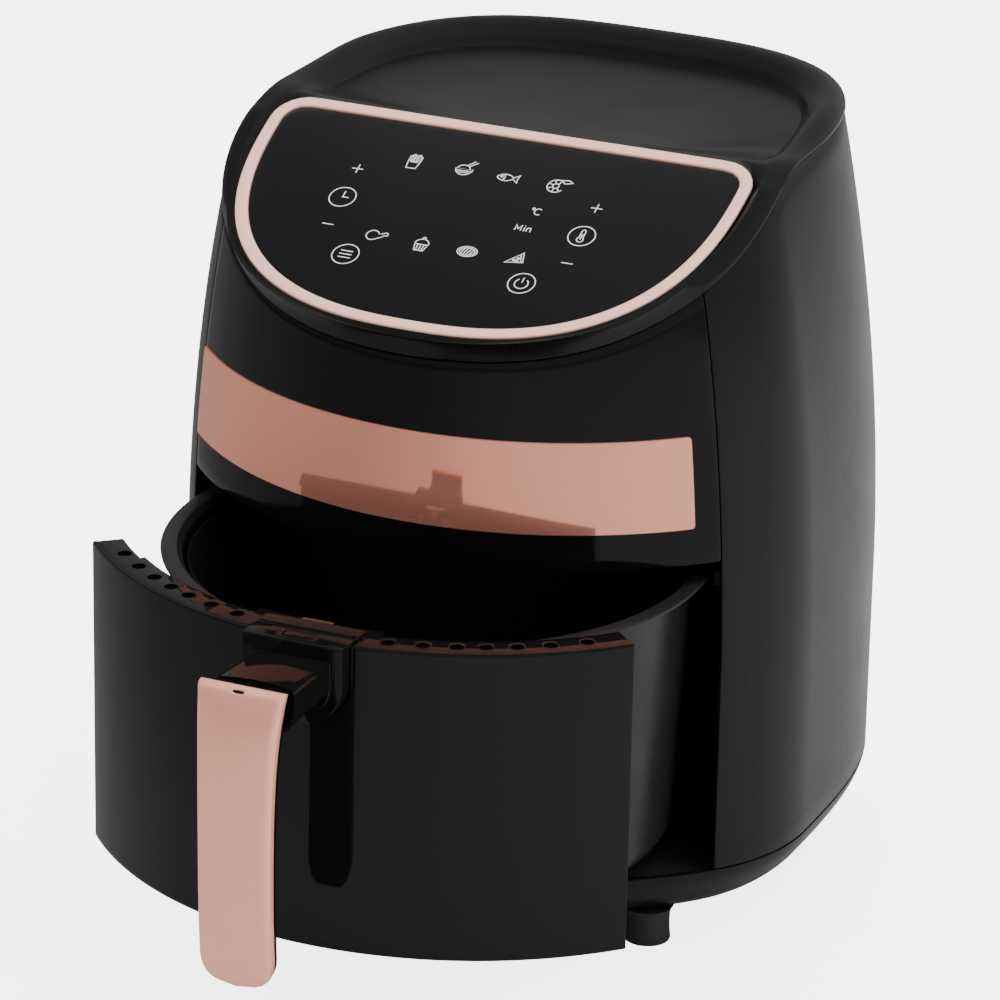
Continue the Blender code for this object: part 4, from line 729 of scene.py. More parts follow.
def iconStrokes():
    # every stroke is a run of points in millimetres on the panel's plane
    strokes = []

    def at(centre, points, scale=1.0):
        strokes.append([(centre[0] + x * scale, centre[1] + y * scale) for x, y in points])

    for centre in ((-55.1, -22.9), (47.5, -23.9)):
        at(centre, [(-2.4, 0), (2.4, 0)])
        at(centre, [(0, -2.4), (0, 2.4)])
    for centre in ((-54.0, -55.1), (47.7, -55.3)):
        at(centre, [(-2.4, 0), (2.4, 0)])
    for centre in ((-54.5, -39.4), (-40.0, -69.5), (47.6, -39.8), (34.6, -69.6)):
        at(centre, arc((0, 0), 5.4, 0, 360, 49))
    at((-54.5, -39.4), [(0, 3.2), (0, 0), (2.6, 0)])
    for lift in (-1.8, 0.0, 1.8):
        at((-40.0, -69.5), [(-2.6, lift), (2.6, lift)])
    at((34.6, -69.6), arc((0, -0.2), 2.7, 125, 415, 30))
    at((34.6, -69.6), [(0, 0.4), (0, 3.2)])
    thermo = (47.6, -39.8)
    at(thermo, arc((0, -2.0), 1.35, -230, 50, 20) + [(0.8, 2.6)] + arc((0, 2.6), 0.8, 0, 180, 9) + [(-0.8, -0.9)])
    at(thermo, [(0, -2.0), (0, 1.2)])
    fries = (-34.4, -14.2)
    at(fries, [(-2.6, 0.6), (-2.0, -3.8), (2.0, -3.8), (2.6, 0.6), (1.2, -0.3), (-1.2, -0.3), (-2.6, 0.6)])
    for x, top in ((-2.0, 3.0), (-0.9, 3.9), (0.2, 3.2), (1.3, 3.8), (2.2, 2.8)):
        at(fries, [(x - 0.45, 0.0), (x - 0.45, top), (x + 0.4, top), (x + 0.4, 0.0)])
    bowl = (-12.8, -14.0)
    at(bowl, [(-3.9, 0.2)] + arc((0, 0.2), 3.6, 180, 360, 20, 0.95) + [(3.9, 0.2), (-3.9, 0.2)])
    at(bowl, arc((-0.4, 0.3), 2.6, 0, 180, 16, 0.75))
    at(bowl, [(1.4, 1.6), (4.4, 4.4)])
    at(bowl, [(0.4, 2.0), (3.0, 5.0)])
    for y in (-0.9, -1.9):
        at(bowl, [(-3.0 - y * 0.25 - 0.6, y), (3.0 + y * 0.25 + 0.4, y)])
    fish = (6.2, -15.0)
    at(fish, arc((-1.0, -1.6), 4.0, 150, 35, 18, 0.85) + [(4.6, 2.2), (4.2, 0.0), (4.6, -2.2), (2.3, -0.3)]
       + arc((-1.0, 1.6), 4.0, -35, -150, 18, 0.85) + [(-4.5, 0.1)])
    at(fish, arc((-2.6, 0.4), 0.45, 0, 360, 12))
    at(fish, arc((-3.4, 0.0), 2.2, -55, 55, 10))
    shrimp = (27.6, -14.8)
    at(shrimp, arc((-0.8, -0.6), 3.5, 30, 330, 30))
    at(shrimp, arc((-0.8, -0.6), 1.3, 0, 360, 18))
    for turn in (60, 110, 160, 210, 260, 310):
        a = math.radians(turn)
        at(shrimp, [(-0.8 + 1.3 * math.cos(a), -0.6 + 1.3 * math.sin(a)),
                    (-0.8 + 3.5 * math.cos(a), -0.6 + 3.5 * math.sin(a))])
    at(shrimp, [(2.2, 1.2), (5.4, 2.2), (3.4, 3.4), (0.4, 3.0)])
    drum = (-32.3, -57.5)
    at(drum, arc((-1.4, 0.4), 2.6, 20, 290, 26) + [(2.2, -0.2), (3.3, 0.8)])
    at(drum, arc((3.8, 1.7), 0.8, -120, 130, 12) + [(1.6, 1.6)])
    cup = (-12.6, -57.9)
    at(cup, [(-2.7, 0.0), (-1.9, -3.4), (1.9, -3.4), (2.7, 0.0), (-2.7, 0.0)])
    at(cup, arc((0, 0.4), 2.9, 0, 180, 18, 0.85))
    at(cup, arc((0, 3.4), 0.6, 0, 360, 12))
    for x in (-1.2, 0.0, 1.2):
        at(cup, [(x * 1.1, -0.2), (x * 0.9, -3.2)])
    steak = (6.8, -57.7)
    at(steak, arc((0, 0), 4.1, 0, 360, 34, 0.66))
    at(steak, arc((0, 0), 3.2, 0, 360, 30, 0.60))
    for x in (-2.0, -0.7, 0.6, 1.9):
        at(steak, [(x - 0.5, -1.3), (x + 0.6, 1.3)])
    pizza = (27.2, -57.2)
    at(pizza, [(-3.8, -2.8), (2.0, 3.6), (3.4, -1.6), (-3.8, -2.8)])
    at(pizza, [(1.2, 2.6), (2.5, -1.6)])
    for x, y in ((-0.6, -0.9), (0.9, 0.2), (0.7, -1.3)):
        at(pizza, arc((x, y), 0.5, 0, 360, 10))
    degree = (24.8, -30.7)
    at(degree, arc((-1.5, 1.3), 0.5, 0, 360, 12))
    at(degree, arc((0.8, 0.0), 1.5, 50, 310, 20, 1.1))
    minute = (23.4, -40.7)
    at(minute, [(-3.2, -1.5), (-3.2, 1.6), (-2.0, -0.6), (-0.8, 1.6), (-0.8, -1.5)])
    at(minute, [(0.5, -1.5), (0.5, 0.6)])
    at(minute, [(0.5, 1.3), (0.5, 1.6)])
    at(minute, [(1.6, -1.5), (1.6, 0.6)])
    at(minute, [(1.6, 0.0), (2.1, 0.6), (2.9, 0.6), (3.2, 0.1), (3.2, -1.5)])
    return strokes


def iconPiece():
    bm = bmesh.new()
    half = icons["stroke"] / 2.0
    for stroke in iconStrokes():
        points = [Vector((x / 1000.0, y / 1000.0)) for x, y in stroke]
        closed = (points[0] - points[-1]).length < 1e-6
        if closed:
            points = points[:-1]
        rows = []
        for k, point in enumerate(points):
            before = points[k - 1] if closed or k else point
            after = points[(k + 1) % len(points)] if closed or k < len(points) - 1 else point
            one, two = (point - before), (after - point)
            one = one.normalized() if one.length > 1e-9 else two.normalized()
            two = two.normalized() if two.length > 1e-9 else one
            along = (one + two)
            along = along.normalized() if along.length > 0.2 else one
            widen = min(1.8, 1.0 / max(0.4, along.dot(one)))
            side = Vector((-along.y, along.x)) * half * widen
            corners = ((side, -0.0001), (side, icons["lift"]), (-side, icons["lift"]), (-side, -0.0001))
            rows.append([bm.verts.new(onSlope(point + away, height)) for away, height in corners])
        pairs = list(zip(rows, rows[1:]))
        if closed:
            pairs.append((rows[-1], rows[0]))
        for one, two in pairs:
            for k in range(4):
                n = (k + 1) % 4
                bm.faces.new((one[k], one[n], two[n], two[k]))
        if not closed:
            bm.faces.new(rows[0])
            bm.faces.new(rows[-1])
    return bm


addPiece("panelIcons", iconPiece(), iconWhite, "housing", [], 30.0)
print("pictograms ready")

# base, deck and feet
base = {"bottom": 0.0125, "top": 0.0375, "inset": 0.029, "power": 1.25, "wall": 0.0025}
foot = {"x": 0.0857, "frontY": -0.0403, "rearY": 0.110, "radius": 0.0095, "height": 0.0122, "screw": 0.0018}


def basePiece():
    stations = spread(-3.0, 3.0, 241)[:-1]

    def ringAt(inset, height):
        return [Vector((*bodyPoint(s, base["top"], inset).xy, height)) for s in stations]

    drop = base["top"] - base["bottom"]
    rings = [ringAt(0.0006, base["top"]), ringAt(0.0002, base["top"] - 0.0002)]
    for turn in spread(0.03, math.pi / 2.0, 18):
        inset = base["inset"] * (1.0 - math.cos(turn) ** base["power"])
        rings.append(ringAt(inset, base["top"] - drop * math.sin(turn) ** base["power"]))
    rings.append(ringAt(base["inset"] + 0.02, base["bottom"]))
    rings.append(ringAt(base["inset"] + 0.0215, base["bottom"] + 0.0008))
    rings.append(ringAt(base["inset"] + 0.06, base["bottom"] + 0.0008))
    inside = [ringAt(base["wall"], base["top"]), ringAt(base["wall"] + 0.004, base["top"] - 0.006),
              ringAt(base["wall"] + base["inset"], base["bottom"] + base["wall"])]
    return skin(list(reversed(inside)) + rings)


addPiece("baseBowl", basePiece(), glossBlack, "housing", ["base_tray"], 30.0)


def footPiece(x, y):
    radius, height = foot["radius"], foot["height"]
    recess = foot["screw"] + 0.0018
    profile = [(recess, 0.0050), (recess, 0.0004), (recess + 0.0004, 0.0), (radius - 0.0010, 0.0),
               (radius - 0.0003, 0.0003), (radius, 0.0010), (radius - 0.0005, 0.006), (radius - 0.0004, height),
               (radius + 0.0004, height + 0.0022), (radius + 0.0010, height + 0.0030), (recess, height + 0.0030)]
    return revolve(profile, (x, y + shiftY, 0.0), 48)


def screwHeads(points, radius, height):
    # domed heads with a round recess
    bm = bmesh.new()
    for point in points:
        head = revolve([(0.0, height * 0.45), (radius * 0.28, height * 0.40), (radius * 0.34, 0.0), (radius * 0.55, 0.0),
                        (radius * 0.85, height * 0.25), (radius, height * 0.7), (radius, height), (0.0, height)],
                       point, 28)
        merge(bm, head)
    return bm


for end, y in (("Front", foot["frontY"]), ("Rear", foot["rearY"])):
    for side, sign in (("Left", -1.0), ("Right", 1.0)):
        label = "foot_%s_%s" % (end.lower(), side.lower())
        addPiece("foot" + end + side, footPiece(sign * foot["x"], y), softRubber, "housing", [label], 40.0)
        head = screwHeads([(sign * foot["x"], y + shiftY, 0.0034)], foot["screw"] + 0.0014, 0.0022)
        addPiece("footScrew" + end + side, head, brightSteel, "housing", ["foot_screw_" + label[5:]], 40.0)


def deckPiece():
    outline = []
    for s in spread(-3.0, 3.0, 181)[:-1]:
        p = bodyPoint(s, base["top"], base["wall"] + 0.0005)
        outline.append((p.x * 0.985, (p.y - shiftY) * 0.985 + 0.0005 + shiftY))
    return plate(outline, base["top"] - 0.0045, base["top"] - 0.0015, 0.0005)


addPiece("drawerDeck", deckPiece(), satinBlack, "housing", ["drawer_deck"], 40.0)
print("base and feet ready")

# back: vent slats and the cord's inlet
grille = {"rows": 7, "frame": 0.0042, "depth": 0.0040}


def grilleFrame():
    # the frame round the slats
    half, low, high = vent["halfWidth"] - gap, vent["low"] + gap, vent["high"] - gap
    y0 = backY + shiftY - 0.0118
    bm = bmesh.new()
    rim = grille["frame"]
    for a, b in (((-half, y0, low), (half, y0 + grille["depth"], low + rim)),
                 ((-half, y0, high - rim), (half, y0 + grille["depth"], high)),
                 ((-half, y0, low + rim - 0.0004), (-half + rim, y0 + grille["depth"], high - rim + 0.0004)),
                 ((half - rim, y0, low + rim - 0.0004), (half, y0 + grille["depth"], high - rim + 0.0004)),
                 ((-0.0015, y0, low + rim - 0.0004), (0.0015, y0 + grille["depth"] * 0.5, high - rim + 0.0004))):
        merge(bm, roundedBlock(a, b, 0.0003, 2))
    return bm


slatPitch = (vent["high"] - vent["low"] - 2.0 * grille["frame"]) / grille["rows"]
addPiece("ventGrille", grilleFrame(), satinBlack, "housing", ["rear_vent_grille"], 35.0, ventSlats, {
    "Count": grille["rows"], "Start": (0.0, backY + shiftY - 0.0098, vent["low"] + grille["frame"] + slatPitch * 0.5),
    "Pitch": (0.0, 0.0, slatPitch), "Size": (2.0 * (vent["halfWidth"] - 0.0044), 0.0042, 0.0014), "Tilt": 0.55})

glandProfile = [(0.0034, -0.010), (0.0088, -0.010), (0.0090, -0.0048), (0.0062, -0.0046), (0.0062, 0.0004),
                (0.0060, 0.0014), (0.0052, 0.0021), (0.0042, 0.0021), (0.0036, 0.0014), (0.0034, 0.0)]
addPiece("cordInlet", revolve(glandProfile, (gland["x"], backFace(gland["x"]), gland["z"]), 64, "Y"), softRubber,
         "housing", ["cord_gland"], 35.0)
print("back ready")

# drawer
drawer = {"open": 0.0856, "bottom": 0.0403, "top": 0.1661, "thickness": 0.0020, "endGap": 0.0009,
          "ledgeWidth": 0.0146, "ledgeThickness": 0.0020, "ledgeAngle": 48.2, "bridgeAngle": 11.0,
          "bridgeWidth": 0.0045, "ventRadius": 0.1450, "notchRadius": 0.1408, "ventHole": 0.0028,
          "ventAngles": (12.5, 17.7, 22.7, 27.0, 31.6, 36.6, 42.2), "panY": -0.059, "panRadius": 0.1085,
          "flange": 0.0064, "panTop": 0.1600, "panBottom": 0.0425, "draft": 0.006, "sheet": 0.0012}
handle = {"bracketHalf": 0.0208, "bracketTop": 0.1675, "bracketDrop": 0.0325, "proud": 0.0058, "depth": 0.0112,
          "plateBack": -0.1668, "stemHalf": 0.0166, "stemTop": 0.1633, "stemThickness": 0.0135,
          "reach": 0.0560, "gripHalf": 0.0149, "flare": 0.0028, "gripTop": 0.1640, "gripBottom": 0.0450,
          "coverDepth": 0.0060, "backDepth": 0.0085, "buttonHalf": 0.0061, "buttonLength": 0.0060}
drawerFrontY = plan["centreY"] - drawer["open"] - plan["frontRadius"] + shiftY


def drawerArc(angle, radius):
    return radius * math.sin(angle), plan["centreY"] - drawer["open"] - radius * math.cos(angle) + shiftY


def bracketFloor(x, half, floorZ):
    corner = half * 0.86
    over = max(abs(x) - (half - corner), 0.0)
    return floorZ + corner * 0.92 * (1.0 - math.sqrt(max(1.0 - (over / corner) ** 2, 0.0)))


def bracketOutline(half, topZ, floorZ, count=41):
    points = [(-half + 0.0008, topZ), (-half + 0.0002, topZ - 0.0003), (-half, topZ - 0.001)]
    for a in spread(-math.pi / 2.0, math.pi / 2.0, count):
        x = half * math.sin(a)
        points.append((x, bracketFloor(x, half, floorZ)))
    return points + [(half, topZ - 0.001), (half - 0.0002, topZ - 0.0003), (half - 0.0008, topZ)]


def drawerFrontPiece():
    radius = plan["frontRadius"]
    end = plan["frontAngle"] - drawer["endGap"] / radius
    notch = handle["bracketHalf"] + 0.0004
    notchAngle = math.asin(notch / radius)
    floorZ = handle["bracketTop"] - handle["bracketDrop"] - 0.0004
    inner = [math.asin(notch * math.sin(a) / radius) for a in spread(-math.pi / 2.0, math.pi / 2.0, 41)]
    angles = [-end, -end + 0.0015, -end + 0.004] + spread(-end + 0.01, -notchAngle - 0.0001, 70)
    angles += inner + spread(notchAngle + 0.0001, end - 0.01, 70) + [end - 0.004, end - 0.0015, end]
    sections = []
    for a in angles:
        sink = {0: 0.0006, 1: 0.0002}.get(min(angles.index(a), len(angles) - 1 - angles.index(a)), 0.0)
        top = drawer["top"]
        if abs(a) <= notchAngle + 0.00005:
            top = bracketFloor(radius * math.sin(a), notch, floorZ)
        low = drawer["bottom"]
        outer = []
        for c, s in quarter(spread(0.0, 1.0, 5)):
            x, y = drawerArc(a, radius - max(sink, 0.0011 * (1.0 - s)))
            outer.append((x, y, low + 0.0018 * (1.0 - c)))
        for z in spread(low + 0.004, top - 0.0012, 14):
            x, y = drawerArc(a, radius - sink)
            outer.append((x, y, z))
        for z, inset in ((top - 0.0005, 0.0), (top - 0.00015, 0.00015), (top, 0.0006)):
            x, y = drawerArc(a, radius - max(inset, sink))
            outer.append((x, y, z))
        rear = []
        for point in reversed(outer):
            x, y = drawerArc(a, radius - drawer["thickness"])
            rear.append((x, y, point[2]))
        sections.append(outer + rear)
    return loft(sections)


addPiece("drawerFront", drawerFrontPiece(), drawerBlack, "drawer", ["drawer_front"], 32.0)


def ledgePiece():
    outer = plan["frontRadius"] - drawer["thickness"] - 0.0001
    usual = plan["frontRadius"] - drawer["ledgeWidth"]
    low, high = drawer["top"] - drawer["ledgeThickness"], drawer["top"] - 0.0001
    bridge = math.radians(drawer["bridgeAngle"])
    end = math.radians(drawer["ledgeAngle"])
    notch = math.radians(-39.6)
    angles = spread(-end, notch - 0.0006, 24) + spread(notch, -bridge - 0.0006, 60) + spread(-bridge, bridge, 30)
    angles += spread(bridge + 0.0006, end, 80)
    bayHalf = handle["bracketHalf"] + 0.0004
    sections = []
    for a in angles:
        inner = usual - drawer["bridgeWidth"] if abs(a) <= bridge + 0.0001 else usual
        if a < notch - 0.0001:
            inner = drawer["notchRadius"]
        row = []
        near = outer
        if abs(outer * math.sin(a)) < bayHalf:
            near = (plan["centreY"] - drawer["open"] - handle["plateBack"] - 0.0003) / math.cos(a)
        for radius, z in ((near, low), (near, high - 0.0003), (near - 0.0003, high), (inner + 0.0005, high),
                          (inner + 0.00015, high - 0.00015), (inner, high - 0.0005), (inner, low + 0.0003),
                          (inner + 0.0003, low)):
            x, y = drawerArc(a, radius)
            row.append((x, y, z))
        sections.append(row)
    return loft(sections)


holePoints = []
for degrees in drawer["ventAngles"]:
    for sign in (-1.0, 1.0):
        x, y = drawerArc(sign * math.radians(degrees), drawer["ventRadius"])
        holePoints.append((x, y, drawer["top"] + 0.0013))
ledgeDots = pointHelper("ledgeHoleDots", holePoints)
addPiece("drawerLedge", ledgePiece(), drawerBlack, "drawer", ["drawer_ledge"], 32.0, roundHoles,
         {"Points": ledgeDots, "Radius": drawer["ventHole"], "Depth": 0.006, "Sides": 40})
bpy.data.objects.remove(ledgeDots)


def panPiece():
    top, sheet = drawer["panTop"], drawer["sheet"]
    outer = drawer["panRadius"]
    mouth = outer - drawer["flange"]
    wall = mouth - 0.0010
    low = wall - drawer["draft"]
    corner = 0.010
    bottom = drawer["panBottom"]
    profile = [(0.0, bottom + sheet)]
    for a in spread(math.pi / 2.0, 0.0, 10):
        profile.append((low - corner + (corner - sheet) * math.cos(a), bottom + corner - corner * math.sin(a)
                        + sheet * math.sin(a)))
    profile += [(wall - sheet, top - 0.006), (wall - sheet + 0.0001, top - 0.0024), (mouth - 0.0006, top - 0.0007),
                (mouth, top - 0.0001), (mouth + 0.0009, top), (outer - 0.0012, top), (outer - 0.0003, top - 0.0002),
                (outer, top - 0.0007), (outer - 0.0001, top - sheet), (outer - 0.0006, top - sheet - 0.0002),
                (wall + 0.0008, top - sheet - 0.0006), (wall, top - sheet - 0.0016)]
    for a in spread(0.0, math.pi / 2.0, 10):
        profile.append((low - corner + corner * math.cos(a), bottom + corner - corner * math.sin(a)))
    profile.append((0.0, bottom))
    return revolve(profile, (0.0, drawer["panY"] + shiftY, 0.0), 160)


addPiece("pan", panPiece(), panGrey, "drawer", ["pan"], 35.0)


def basketPiece():
    sheet = drawer["sheet"]
    mouth = drawer["panRadius"] - drawer["flange"] - 0.0010 - sheet - 0.0018
    floorRadius = mouth - drawer["draft"]
    low, top = drawer["panBottom"] + 0.008, drawer["panTop"] - 0.0045
    profile = [(0.0, low + sheet), (floorRadius - 0.010, low + sheet), (floorRadius - 0.006, low + 0.0020),
               (floorRadius - 0.0030, low + 0.0042), (floorRadius - sheet, low + 0.0090), (mouth - sheet, top - 0.001),
               (mouth - sheet + 0.0003, top - 0.0002), (mouth - 0.0005, top), (mouth, top - 0.0005),
               (floorRadius, low + 0.0085), (floorRadius - 0.0022, low + 0.0032), (floorRadius - 0.006, low + 0.0006),
               (floorRadius - 0.010, low), (0.0, low)]
    return revolve(profile, (0.0, drawer["panY"] + shiftY, 0.0), 120)


perforation = {"pitch": 0.0115, "radius": 0.0026, "reach": 0.078}
dots = []
for row in range(-7, 8):
    for column in range(-8, 9):
        x = (column + 0.5 * (row % 2)) * perforation["pitch"]
        y = row * perforation["pitch"] * 0.866
        if math.hypot(x, y) < perforation["reach"]:
            dots.append((x, y + drawer["panY"] + shiftY, drawer["panBottom"] + 0.0086))
basketDots = pointHelper("basketHoleDots", dots)
addPiece("basket", basketPiece(), basketBlack, "drawer", ["basket"], 35.0, roundHoles,
         {"Points": basketDots, "Radius": perforation["radius"], "Depth": 0.006, "Sides": 14})
bpy.data.objects.remove(basketDots)
print("drawer ready")


# handle
def standing(spot, height):
    # outline in X-Z, thickness towards +Y
    return Vector((spot.x, height, spot.y))


bracketFront = drawerFrontY - handle["proud"]
bracketBack = drawerFrontY + handle["depth"] - handle["proud"]
bracketBlock = plate(bracketOutline(handle["bracketHalf"], handle["bracketTop"],
                                    handle["bracketTop"] - handle["bracketDrop"]),
                     bracketFront, bracketBack, 0.0006, standing)
bracketPiece = addPiece("handleBracket", bracketBlock, drawerBlack, "drawer", ["handle_bracket"], 35.0)
buttonY = drawerFrontY + 0.0002
well = boxCutter("buttonWell", (-handle["buttonHalf"] - gap, buttonY - handle["buttonLength"] / 2.0 - gap,
                                handle["bracketTop"] - 0.017),
                 (handle["buttonHalf"] + gap, buttonY + handle["buttonLength"] / 2.0 + gap,
                  handle["bracketTop"] + 0.005))
cutPiece(bracketPiece, [well])
shadeByAngle(bracketPiece, 35.0)
addPiece("bracketPlate", roundedBlock(
    (-handle["bracketHalf"], bracketBack + 0.0002, handle["bracketTop"] - 0.0022),
    (handle["bracketHalf"], handle["plateBack"] + shiftY, handle["bracketTop"]), 0.0005, 4), drawerBlack, "drawer",
    ["bracket_plate"], 30.0)
addPiece("releaseButton", roundedBlock(
    (-handle["buttonHalf"], buttonY - handle["buttonLength"] / 2.0, handle["bracketTop"] - 0.0115),
    (handle["buttonHalf"], buttonY + handle["buttonLength"] / 2.0, handle["bracketTop"]), 0.0006, 4), drawerBlack,
    "release_button", ["release_button"], 30.0)


def rootPlate():
    # raised root of the stem on the bracket's face
    outline = bracketOutline(handle["stemHalf"] + 0.0002, handle["stemTop"] - 0.0012,
                             handle["bracketTop"] - handle["bracketDrop"] + 0.0034)
    return plate(outline, bracketFront - 0.0016, bracketFront + 0.0002, 0.0005, standing)


addPiece("stemRoot", rootPlate(), drawerBlack, "drawer", [], 35.0)


def gripFace(z):
    share = (z - handle["gripBottom"]) / (handle["gripTop"] - handle["gripBottom"])
    return drawerFrontY - handle["reach"] + 0.006 * share ** 6 + 0.003 * (1.0 - share) ** 6


def gripHalf(z):
    share = (z - handle["gripBottom"]) / (handle["gripTop"] - handle["gripBottom"])
    half = handle["gripHalf"] + handle["flare"] * share ** 5
    low = (z - handle["gripBottom"]) / 0.012
    if low < 1.0:
        half *= 0.40 + 0.60 * math.sqrt(max(1.0 - (1.0 - low) ** 2, 0.0))
    return half


def stemPiece():
    jointY = gripFace(handle["stemTop"]) + handle["coverDepth"] + handle["backDepth"] - 0.0003
    start = bracketFront - 0.0010
    slant = gripFace(handle["stemTop"]) - gripFace(handle["stemTop"] - handle["stemThickness"])
    half = handle["stemHalf"]
    sections = []
    for y in spread(jointY, start, 24):
        share = (y - jointY) / (start - jointY)
        sag = 0.0012 * share
        thick = handle["stemThickness"] + 0.0035 * (1.0 - share)
        lowY = y - slant * (1.0 - share)
        topZ = handle["stemTop"] - sag
        row = [(-half, topZ - 0.0060, y)]
        row += [(-half + 0.0036 * (1.0 - c), topZ - 0.0046 + 0.0036 * s, y) for c, s in sweep]
        for x in spread(-half + 0.0036, half - 0.0036, 13)[1:-1]:
            row.append((x, topZ - 0.0010 + 0.0010 * (1.0 - (x / (half - 0.0036)) ** 2), y))
        row += [(half - 0.0036 * (1.0 - c), topZ - 0.0046 + 0.0036 * s, y) for c, s in reversed(sweep)]
        row.append((half, topZ - 0.0060, y))
        bottom = topZ - thick
        row += [(half - 0.0040 * (1.0 - c), bottom + 0.0040 * (1.0 - s), lowY) for c, s in sweep]
        row += [(-half + 0.0040 * (1.0 - c), bottom + 0.0040 * (1.0 - s), lowY) for c, s in reversed(sweep)]
        sections.append([(x, yy, z) for x, z, yy in row])
    return skin(sections)


addPiece("handleStem", stemPiece(), drawerBlack, "drawer", ["handle_stem"], 40.0)


def gripHeights(low, high):
    near = [0.0, 0.0006, 0.0014, 0.0026, 0.0042, 0.0062, 0.0086, 0.0112, 0.015, 0.02]
    far = [0.0, 0.0004, 0.0010, 0.0018, 0.0032, 0.006]
    return [low + d for d in near] + spread(low + 0.028, high - 0.012, 22) + [high - d for d in reversed(far)]


def gripCoverPiece():
    low, high = handle["gripBottom"], handle["gripTop"]
    sections = []
    for z in gripHeights(low, high):
        half = gripHalf(z)
        topShare = max(0.0, 1.0 - (high - z) / 0.0018)
        bottomShare = max(0.0, 1.0 - (z - low) / 0.005)
        face = gripFace(z) + 0.0012 * (1.0 - math.sqrt(1.0 - topShare ** 2)) + 0.0022 * bottomShare ** 2
        seam = gripFace(z) + handle["coverDepth"]
        row = [(-half, seam, z)]
        edge = 0.0032
        row += [(-half + edge * (1.0 - c), face + 0.0010 + edge * (1.0 - s) * 0.9, z) for c, s in sweep]
        inside = half - edge
        for x in spread(-inside, inside, 15)[1:-1]:
            row.append((x, face + 0.0010 * (x / inside) ** 2, z))
        row += [(half - edge * (1.0 - c), face + 0.0010 + edge * (1.0 - s) * 0.9, z) for c, s in reversed(sweep)]
        row.append((half, seam, z))
        sections.append(row)
    return skin(sections)


gripCover = addPiece("gripCover", gripCoverPiece(), gripGold, "drawer", ["grip_cover"], 40.0)
slotTool = boxCutter("gripSlot", (-0.0030, gripFace(handle["gripTop"]) - 0.004, handle["gripTop"] - 0.0013),
                     (0.0030, gripFace(handle["gripTop"]) + 0.0022, handle["gripTop"] + 0.004))
cutPiece(gripCover, [slotTool])
shadeByAngle(gripCover, 40.0)
addPiece("gripSlotInsert", roundedBlock(
    (-0.0029, gripFace(handle["gripTop"]) + 0.0009, handle["gripTop"] - 0.0013),
    (0.0029, gripFace(handle["gripTop"]) + 0.0022, handle["gripTop"] - 0.0003), 0.0003, 2), drawerBlack, "drawer", [],
    40.0)


def gripBackPiece():
    sections = []
    for z in gripHeights(handle["gripBottom"] + 0.0010, handle["gripTop"] - 0.0012):
        half = gripHalf(z) - 0.0006
        rear = gripFace(z) + handle["coverDepth"] + 0.0002
        depth = handle["backDepth"] - 0.0025
        ends = min(z - handle["gripBottom"] - 0.0010, handle["gripTop"] - 0.0012 - z)
        pinch = 0.0014 * (1.0 - smooth(ends / 0.003))
        row = [(-half, rear, z), (half, rear, z)]
        start, swell, side = rear + depth * 0.4, depth * 0.6 - pinch, half * 0.34
        row += [(half - side * (1.0 - c), start + swell * s, z) for c, s in sweep]
        row += [(-half + side * (1.0 - c), start + swell * s, z) for c, s in reversed(sweep)]
        sections.append(row)
    return skin(sections)


addPiece("gripBack", gripBackPiece(), drawerBlack, "drawer", ["grip_back"], 40.0)
print("handle ready")

# latch
latch = {"rodY": -0.1724 + shiftY, "rodZ": 0.1600, "clipHalf": 0.0065, "clipTop": 0.1672}


def turnedX(start):
    return Matrix.Translation(start) @ Matrix.Rotation(math.pi / 2.0, 4, "Y")


for side, x in (("Left", -0.0165), ("Right", 0.0045)):
    addPiece("latchSpring" + side, None, brightSteel, "drawer", ["latch_spring_" + side.lower()], 60.0,
             coilSpring, {"Turns": 9.0, "Radius": 0.0017, "Length": 0.0120, "Wire": 0.00026},
             turnedX((x, latch["rodY"], latch["rodZ"])))
buttonSpring = addPiece("buttonSpring", None, brightSteel, "drawer", ["button_spring"], 60.0, coilSpring,
                        {"Turns": 4.0, "Radius": 0.0022, "Length": 0.0044, "Wire": 0.0003},
                        Matrix.Translation((0.0, buttonY, handle["bracketTop"] - 0.0165)))
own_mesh(buttonSpring)


def clipPiece():
    y = handle["plateBack"] + shiftY
    outline = [(y + 0.0006, latch["clipTop"] - 0.0008), (y + 0.0006, latch["clipTop"]), (y + 0.0026, latch["clipTop"]),
               (y + 0.0032, latch["clipTop"] - 0.0003), (y + 0.0033, latch["clipTop"] - 0.0010), (y + 0.0033, 0.1610),
               (y + 0.0026, 0.1610), (y + 0.0026, latch["clipTop"] - 0.0008)]
    sections = []
    for x in (-latch["clipHalf"], -latch["clipHalf"] + 0.0003, latch["clipHalf"] - 0.0003, latch["clipHalf"]):
        sections.append([(x, py, z) for py, z in outline])
    return skin(sections)


addPiece("latchClip", clipPiece(), brightSteel, "drawer", ["latch_clip"], 30.0)
hexHead = [(0.0, 0.0006), (0.0011, 0.0006), (0.0012, 0.0016), (0.0017, 0.0016), (0.0022, 0.0010), (0.0024, 0.0004),
           (0.0024, 0.0), (0.0, 0.0)]
addPiece("latchScrew", revolve(hexHead, (0.0, handle["plateBack"] + shiftY + 0.0033, 0.1638), 6, "Y"), brightSteel,
         "drawer", [], 20.0)
print("latch ready")

